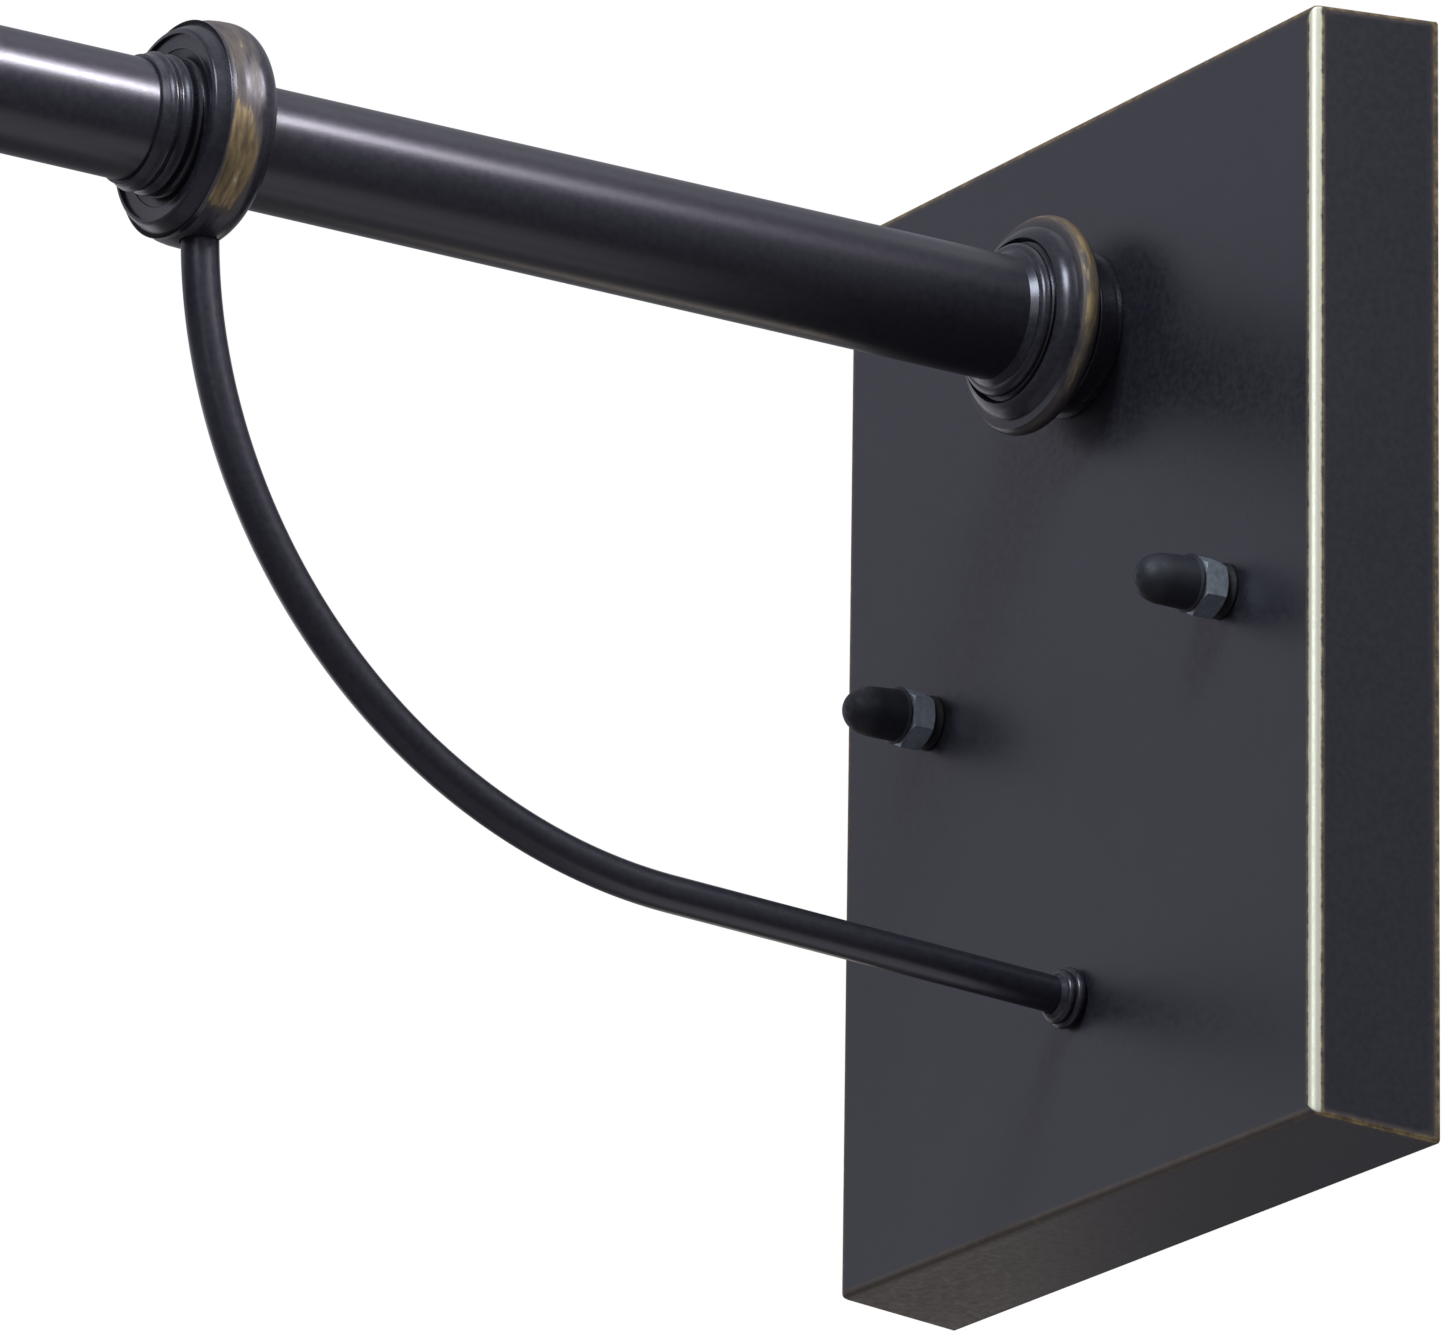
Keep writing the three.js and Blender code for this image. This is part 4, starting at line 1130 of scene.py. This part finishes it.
def acorn_nut():
    node = "swivel_acorn_nut"
    low, high = span(node)
    length = high.x - low.x
    flats = high.z - low.z
    plug = cylinder(1.5, 0.3, length * 0.5 - 0.2, 32)
    base = combined(hexagon_nut(flats, length * 0.5, 0.5), plug, "UNION")
    radius = flats * 0.455
    start = length * 0.4
    corners = [(0, start - 0.5), (radius, start - 0.5)]
    for step in range(16):
        angle = QUARTER * step / 16
        corners.append((radius * math.cos(angle), start + (length - start) * math.sin(angle)))
    corners.append((0, length))
    bm = combined(base, revolved(rounded(corners), 96), "UNION")
    fine(node, bm, BRONZE, place=(low.x, PIVOT.y, PIVOT.z), towards=(1, 0, 0))


def build_swivel():
    swivel_half("swivel_arm_half", "arm", 8.0, 5.2, span("swivel_arm_half")[1].y - PIVOT.y)
    swivel_half("swivel_head_half", "head", 5.0, 3.6, PIVOT.y - span("swivel_head_half")[0].y)
    washer("swivel_friction_washer", 6.0, FIBRE, "arm", 0)
    washer("swivel_lock_washer", 2.3, STEEL, "arm", 0)
    slotted_screw("swivel_screw", "arm", (-1, 0, 0), BRONZE, 5.0, 2.6, 2.0, 22.6)
    acorn_nut()


# ---------------------------------------------------------------- shade and what it holds

SHADE_AXIS = Vector((0, (SHADE_LOW.y + SHADE_HIGH.y) / 2, SHADE_HIGH.z - SHADE_RADIUS))


def arch_outline(radius, sheet, start, lip, wear):
    """Section of an arched sheet with a rolled lip on both edges, as (x, z, wear) points."""
    middle_radius = radius - sheet / 2
    reach = math.sqrt(lip ** 2 - (sheet / 2) ** 2)
    open_angle = math.asin(sheet / 2 / lip)
    steps = 72

    def arch(arc_radius, first, last):
        return [(x, z, 0.0) for x, z in arc_points(0, 0, arc_radius, first, last, steps)]

    def roll(angle, away):
        centre = middle_radius * Vector((math.cos(angle), math.sin(angle)))
        outwards = centre.normalized()
        onwards = away * Vector((-outwards.y, outwards.x))
        first = -(QUARTER - open_angle)
        last = math.pi + QUARTER - open_angle
        points = []
        for i in range(1, 20):
            turn = first + (last - first) * i / 20
            point = centre + lip * (math.cos(turn) * outwards + math.sin(turn) * onwards)
            points.append((point.x, point.y, wear))
        return points

    outer = arch(radius, start + reach / radius, math.pi - start - reach / radius)
    inner_radius = radius - sheet
    inner = arch(inner_radius, math.pi - start - reach / inner_radius, start + reach / inner_radius)
    return outer + roll(math.pi - start, 1) + inner + roll(start, -1)[::-1]


def shade_shell():
    outline = arch_outline(SHADE_RADIUS, SHADE_SHEET, -SHADE_MOUTH, SHADE_LIP, 0.46)
    bm = moved(extruded(outline, SHADE_LOW.x, SHADE_HIGH.x), towards=(1, 0, 0))
    bm = combined(bm, cylinder(5.3, SHADE_RADIUS - 5, SHADE_RADIUS + 5), "DIFFERENCE")
    fine("shade_shell", bm, BRONZE, "head", SHADE_AXIS)


def reflector():
    low, high = span("reflector")
    outline = arch_outline(REFLECTOR_RADIUS, REFLECTOR_SHEET, REFLECTOR_START, 0.8, 0.0)
    bm = moved(extruded(outline, low.x, high.x), towards=(1, 0, 0))
    for side in SIDES_OF:
        place = (middle(f"reflector_screw_{side}").x, 0, REFLECTOR_RADIUS - 5)
        bm = combined(bm, moved(cylinder(1.6, 0, 10, 32), place, (0, 0, 1)), "DIFFERENCE")
    fine("reflector", bm, ALUMINIUM, "head", SHADE_AXIS)


def end_cap(word, side):
    """A flat cap with a rounded, rubbed edge, a chord below the mouth and a skirt in the shade."""
    node = f"end_cap_{word}"
    low, high = span(node)
    radius = (high.y - low.y) / 2
    chord = low.z - SHADE_AXIS.z
    corner = math.asin(chord / radius)
    outline = arc_points(0, 0, radius, corner, math.pi - corner, 96)
    width = radius * math.cos(corner)
    outline += [(width * (2 * i / 12 - 1), chord) for i in range(1, 12)]
    thickness = 1.5
    hole = circle_ring(0, middle(f"holder_screw_{word}").z - SHADE_AXIS.z, 2.3, 32)
    disc = flat_plate(outline, [hole], 0, thickness, 0.35, 0.8)
    inside = SHADE_RADIUS - SHADE_SHEET - 0.3
    start = math.asin((chord + 7) / inside)
    skirt_outline = arch_outline(inside, 1.0, start, 0.55, 0.0)
    skirt = extruded(skirt_outline, -6, thickness / 2)
    bm = combined(disc, skirt, "UNION")
    inner = low.x if side < 0 else high.x
    place = (inner - side * thickness, SHADE_AXIS.y, SHADE_AXIS.z)
    fine(node, bm, BRONZE, "head", place, (side, 0, 0))


def shade_seat():
    low, high = span("shade_seat")
    profile = rounded([
        (5.3, low.y), (9.0, low.y), (9.0, high.y - 0.6, 0.5, 0.6), (8.4, high.y, 0.3), (5.3, high.y),
        (5.3, low.y),
    ])
    curve = moved(cylinder(SHADE_RADIUS + 0.15, -20, 20, 256), (0, SHADE_AXIS.y, 0), (1, 0, 0))
    bm = combined(revolved(profile), curve, "DIFFERENCE")
    fine("shade_seat", bm, BRONZE_TURNED, "head", (0, 0, PIVOT.z))


def lamp_place(node, side):
    """The middle of the node's outer end, where its mesh starts."""
    low, high = span(node)
    return high.x if side > 0 else low.x, SHADE_AXIS.y, middle(node).z


def lamp_holder(word, side):
    """A glazed porcelain holder with a collar at its back and a rolled mouth."""
    node = f"lamp_holder_{word}"
    low, high = span(node)
    length = high.x - low.x
    radius = (high.y - low.y) / 2
    profile = rounded([
        (0, -6), (2.3, -6), (2.3, 0, 0.4), (radius - 3.4, 0, 1.2), (radius, -4, 1.6),
        (radius, -12, 0.8), (radius - 1.0, -13.2, 0.8), (radius - 1.0, -length + 5.2, 0.8),
        (radius, -length + 4, 0.8), (radius, -length, 1.4), (13.9, -length, 0.8),
        (13.9, -8.7, 1.0), (0, -8.7),
    ])
    fine(node, revolved(profile), PORCELAIN, "head", lamp_place(node, side), (side, 0, 0))


def lamp_base(word, side):
    """The lamp's brass base with its rolled screw thread."""
    node = f"lamp_base_{word}"
    low, high = span(node)
    length = high.x - low.x
    corners = [(0, -0.1), (4.5, -0.1, 0.5), (5.4, -2.2, 0.3), (9.5, -2.6, 0.4)]
    turns = 5
    start, end = -4.5, -length + 1.2
    for i in range(turns * 8 + 1):
        wave = 0.5 * math.cos(2 * math.pi * i / 8)
        corners.append((12.65 + wave, start + (end - start) * i / (turns * 8)))
    corners += [(12.9, -length), (12.2, -length), (12.2, -7), (0, -7)]
    bm = revolved(rounded(corners), 96)
    fine(node, bm, LAMP_BRASS, "head", lamp_place(node, side), (side, 0, 0))


def lamp_glass(word, side):
    """A thin tubular bulb with a round end, its glass stem, and a long coiled filament."""
    node = f"lamp_glass_{word}"
    low, high = span(node)
    length = high.x - low.x
    radius = (high.y - low.y) / 2
    wall = 0.8

    def wall_path(inset):
        side_wall = [(12.2 - inset, 0), (12.2 - inset, -14, 5), (radius - inset, -24, 8)]
        end = arc_points(0, -length + radius, radius - inset, 0, -QUARTER, 20)[:-1]
        return [*side_wall, *end, (0, -length + inset)]

    outer = rounded(wall_path(0))
    inner = rounded(wall_path(wall))
    bm = revolved([*outer, *inner[::-1], outer[0]])
    place = lamp_place(node, side)
    towards = (side, 0, 0)
    fine(node, bm, GLASS, "head", place, towards)
    stem = rounded([(0, -0.5), (9.5, -0.5, 0.8), (6.0, -4, 2), (3.2, -12, 2), (2.6, -26, 1), (0, -26)])
    piece(f"lamp_stem_{word}", revolved(stem, 64), GLASS, "head", [], place, towards)
    coil = []
    turns = 46
    coil_from, coil_to = -32, -length + 16
    for i in range(turns * 12 + 1):
        angle = 2 * math.pi * i / 12
        along = coil_from + (coil_to - coil_from) * i / (turns * 12)
        coil.append(Vector((1.1 * math.cos(angle), along, 1.1 * math.sin(angle))))
    piece(f"lamp_filament_{word}", swept(coil, 0.16, 8), TUNGSTEN, "head", [], place, towards)
    wires = {
        "near": [(1.6, -25, 0), (1.6, -28, 0), (1.1, coil_from, 0)],
        "far": [
            (-1.6, -25, 0), (-4, -30, 0), (-5, -60, 0),
            (-4.6, coil_to + 6, 0), (-1.5, coil_to - 1.5, 0), (1.1, coil_to, 0),
        ],
    }
    for end, points in wires.items():
        wire = swept(smooth_path(points, 60), 0.28, 10)
        piece(f"lamp_wire_{end}_{word}", wire, TUNGSTEN, "head", [], place, towards)


def head_lead(word, side):
    back = SHADE_HIGH.y - PIVOT.y
    axis = SHADE_AXIS.y - PIVOT.y
    along = axis + 33.4 * math.cos(0.44)
    route = [
        (1.9, -3.6, side * 1.2), (1.9, -11.8, side * 1.2), (side * 1.6, -19, side * 0.6),
        (side * 1.6, back - 6, side * 0.6), (side * 4, back - 9.5, 1.5), (side * 11, back - 7.1, 8),
        *((side * x, along, 14.2) for x in (22, 60, 130, 146)),
        (side * 152, axis + 25, 12.5), (side * 152, axis + 18.2, 9.8),
    ]
    points = [(x, PIVOT.y + y, PIVOT.z + z) for x, y, z in route]
    lead(f"head_lead_{word}", points, BLACK_LEAD, "head")


def standoff(word):
    node = f"reflector_standoff_{word}"
    low, high = span(node)
    profile = rounded([
        (1.6, low.z, 0.1), (3.0, low.z, 0.2), (3.0, high.z, 0.2), (1.6, high.z, 0.1), (1.6, low.z, 0.1),
    ], 3)
    centre = middle(node)
    fine(node, revolved(profile, 48), ZINC, "head", (centre.x, centre.y, 0), (0, 0, 1))


def build_head():
    shade_shell()
    reflector()
    shade_seat()
    washer("shade_lock_washer", 5.3, STEEL, "head")
    nut("shade_lock_nut", STEEL, 5.1, "head")
    for word, side in SIDES_OF.items():
        end_cap(word, side)
        slotted_screw(f"holder_screw_{word}", "head", (side, 0, 0), BRONZE, 4.0, 2.0, 2.0, 8.0)
        slotted_screw(f"reflector_screw_{word}", "head", (0, 0, -1), ZINC, 3.2, 1.6, 1.2, 4.5)
        standoff(word)
        lamp_holder(word, side)
        lamp_base(word, side)
        lamp_glass(word, side)
        head_lead(word, side)


# ---------------------------------------------------------------- world, light and camera


def aim(obj, target):
    obj.rotation_euler = (Vector(target) - obj.location).to_track_quat("-Z", "Y").to_euler()


def softbox(name, place, target, size, power, color=(1, 1, 1)):
    data = bpy.data.lights.new(name, "AREA")
    data.shape = "RECTANGLE"
    data.size, data.size_y = size
    data.energy = power
    data.color = color
    lamp = bpy.data.objects.new(name, data)
    bpy.context.collection.objects.link(lamp)
    lamp.location = place
    aim(lamp, target)
    return lamp


def studio():
    """A white surround for the camera, a dimmer one for the object, nine area lights and a floor."""
    world = bpy.data.worlds.new("studio")
    bpy.context.scene.world = world
    world.use_nodes = True
    tree = world.node_tree
    background = tree.nodes["Background"]
    path = tree.nodes.new("ShaderNodeLightPath")
    direction = tree.nodes.new("ShaderNodeTexCoord")
    split = tree.nodes.new("ShaderNodeSeparateXYZ")
    height = tree.nodes.new("ShaderNodeMapRange")
    height.inputs["From Min"].default_value = -0.35
    height.inputs["From Max"].default_value = 0.3
    surround = tree.nodes.new("ShaderNodeMix")
    backdrop = tree.nodes.new("ShaderNodeMix")
    for node, first, second in (
        (surround, rgb(0.15, 0.145, 0.155), rgb(0.41, 0.405, 0.46)),
        (backdrop, rgb(1, 1, 1), rgb(1, 1, 1)),
    ):
        node.data_type = "RGBA"
        node.inputs[6].default_value = first
        node.inputs[7].default_value = second
    tree.links.new(direction.outputs["Generated"], split.inputs[0])
    tree.links.new(split.outputs["Z"], height.inputs["Value"])
    tree.links.new(height.outputs["Result"], surround.inputs["Factor"])
    tree.links.new(path.outputs["Is Camera Ray"], backdrop.inputs["Factor"])
    tree.links.new(surround.outputs[2], backdrop.inputs[6])
    tree.links.new(backdrop.outputs[2], background.inputs["Color"])
    target = (0, -0.08, 0)
    softbox("key", (-1.8, -1.75, 0.8), target, (1.7, 1.7), 3.0, (0.87, 0.88, 1.0))
    softbox("fill", (1.5, 0.0, 1.25), target, (0.9, 1.2), 6, (0.92, 0.96, 1.0))
    softbox("top", (0.2, 0.3, 2.2), target, (1.6, 1.6), 4, (0.97, 0.96, 1.0))
    softbox("bounce", (0.2, 0.9, -1.7), target, (1.6, 1.2), 4.0)
    softbox("glint", (0.60, -1.13, 0.92), target, (0.45, 0.45), 16.0, (0.84, 0.92, 1.0))
    softbox("side", (-1.6, -0.2, -0.1), target, (0.9, 0.9), 2.0, (0.92, 0.94, 1.0))
    softbox("edge", (1.0, -1.5, 0.55), target, (0.12, 1.1), 2.6)
    softbox("warm", (-0.32, 0.12, -0.16), (-0.08, 0, -0.09), (0.08, 0.08), 0.03, (1.0, 0.90, 0.76))
    streak = softbox("streak", (0.5, 0.07, 0.47), (0, -0.33, 0.05), (0.10, 0.12), 0.42, (1.0, 0.97, 1.0))
    streak.data.spread = math.radians(44)
    floor_size = 4.0
    floor_mesh = bpy.data.meshes.new("floor")
    corners = [(x * floor_size, y * floor_size, 0) for x, y in ((-1, -1), (1, -1), (1, 1), (-1, 1))]
    floor_mesh.from_pydata(corners, [], [(0, 1, 2, 3)])
    floor = bpy.data.objects.new("floor", floor_mesh)
    bpy.context.collection.objects.link(floor)
    floor.location.z = -6.0
    pale = coated_finish("pale_floor", (0.80, 0.80, 0.80), (0.83, 0.83, 0.82), 0.7, 0.02)
    floor_mesh.materials.append(pale)


def camera():
    """Looks up at the light from its right side, with a slight roll, through a very long lens."""
    data = bpy.data.cameras.new("camera")
    data.lens = 346.2
    data.sensor_width = 36.0
    data.clip_end = 50.0
    cam = bpy.data.objects.new("camera", data)
    bpy.context.collection.objects.link(cam)
    azimuth, elevation, roll = map(math.radians, (57.59, -17.96, 0.85))
    cam.location = (1.7505, -1.2008, -0.6857)
    heading = Matrix.Rotation(azimuth, 3, "Z") @ Matrix.Rotation(QUARTER - elevation, 3, "X")
    cam.rotation_euler = (heading @ Matrix.Rotation(roll, 3, "Z")).to_euler()
    bpy.context.scene.camera = cam
    bpy.context.scene.view_settings.view_transform = "Standard"


# ---------------------------------------------------------------- build

camera()
studio()
backplate()
arm_tube()
arm_flange()
brace_collar()
brace_rod()
brace_ferrule()
build_fixings()
crossbar()
ground_screw()
arm_nipple()
build_leads()
build_swivel()
build_head()
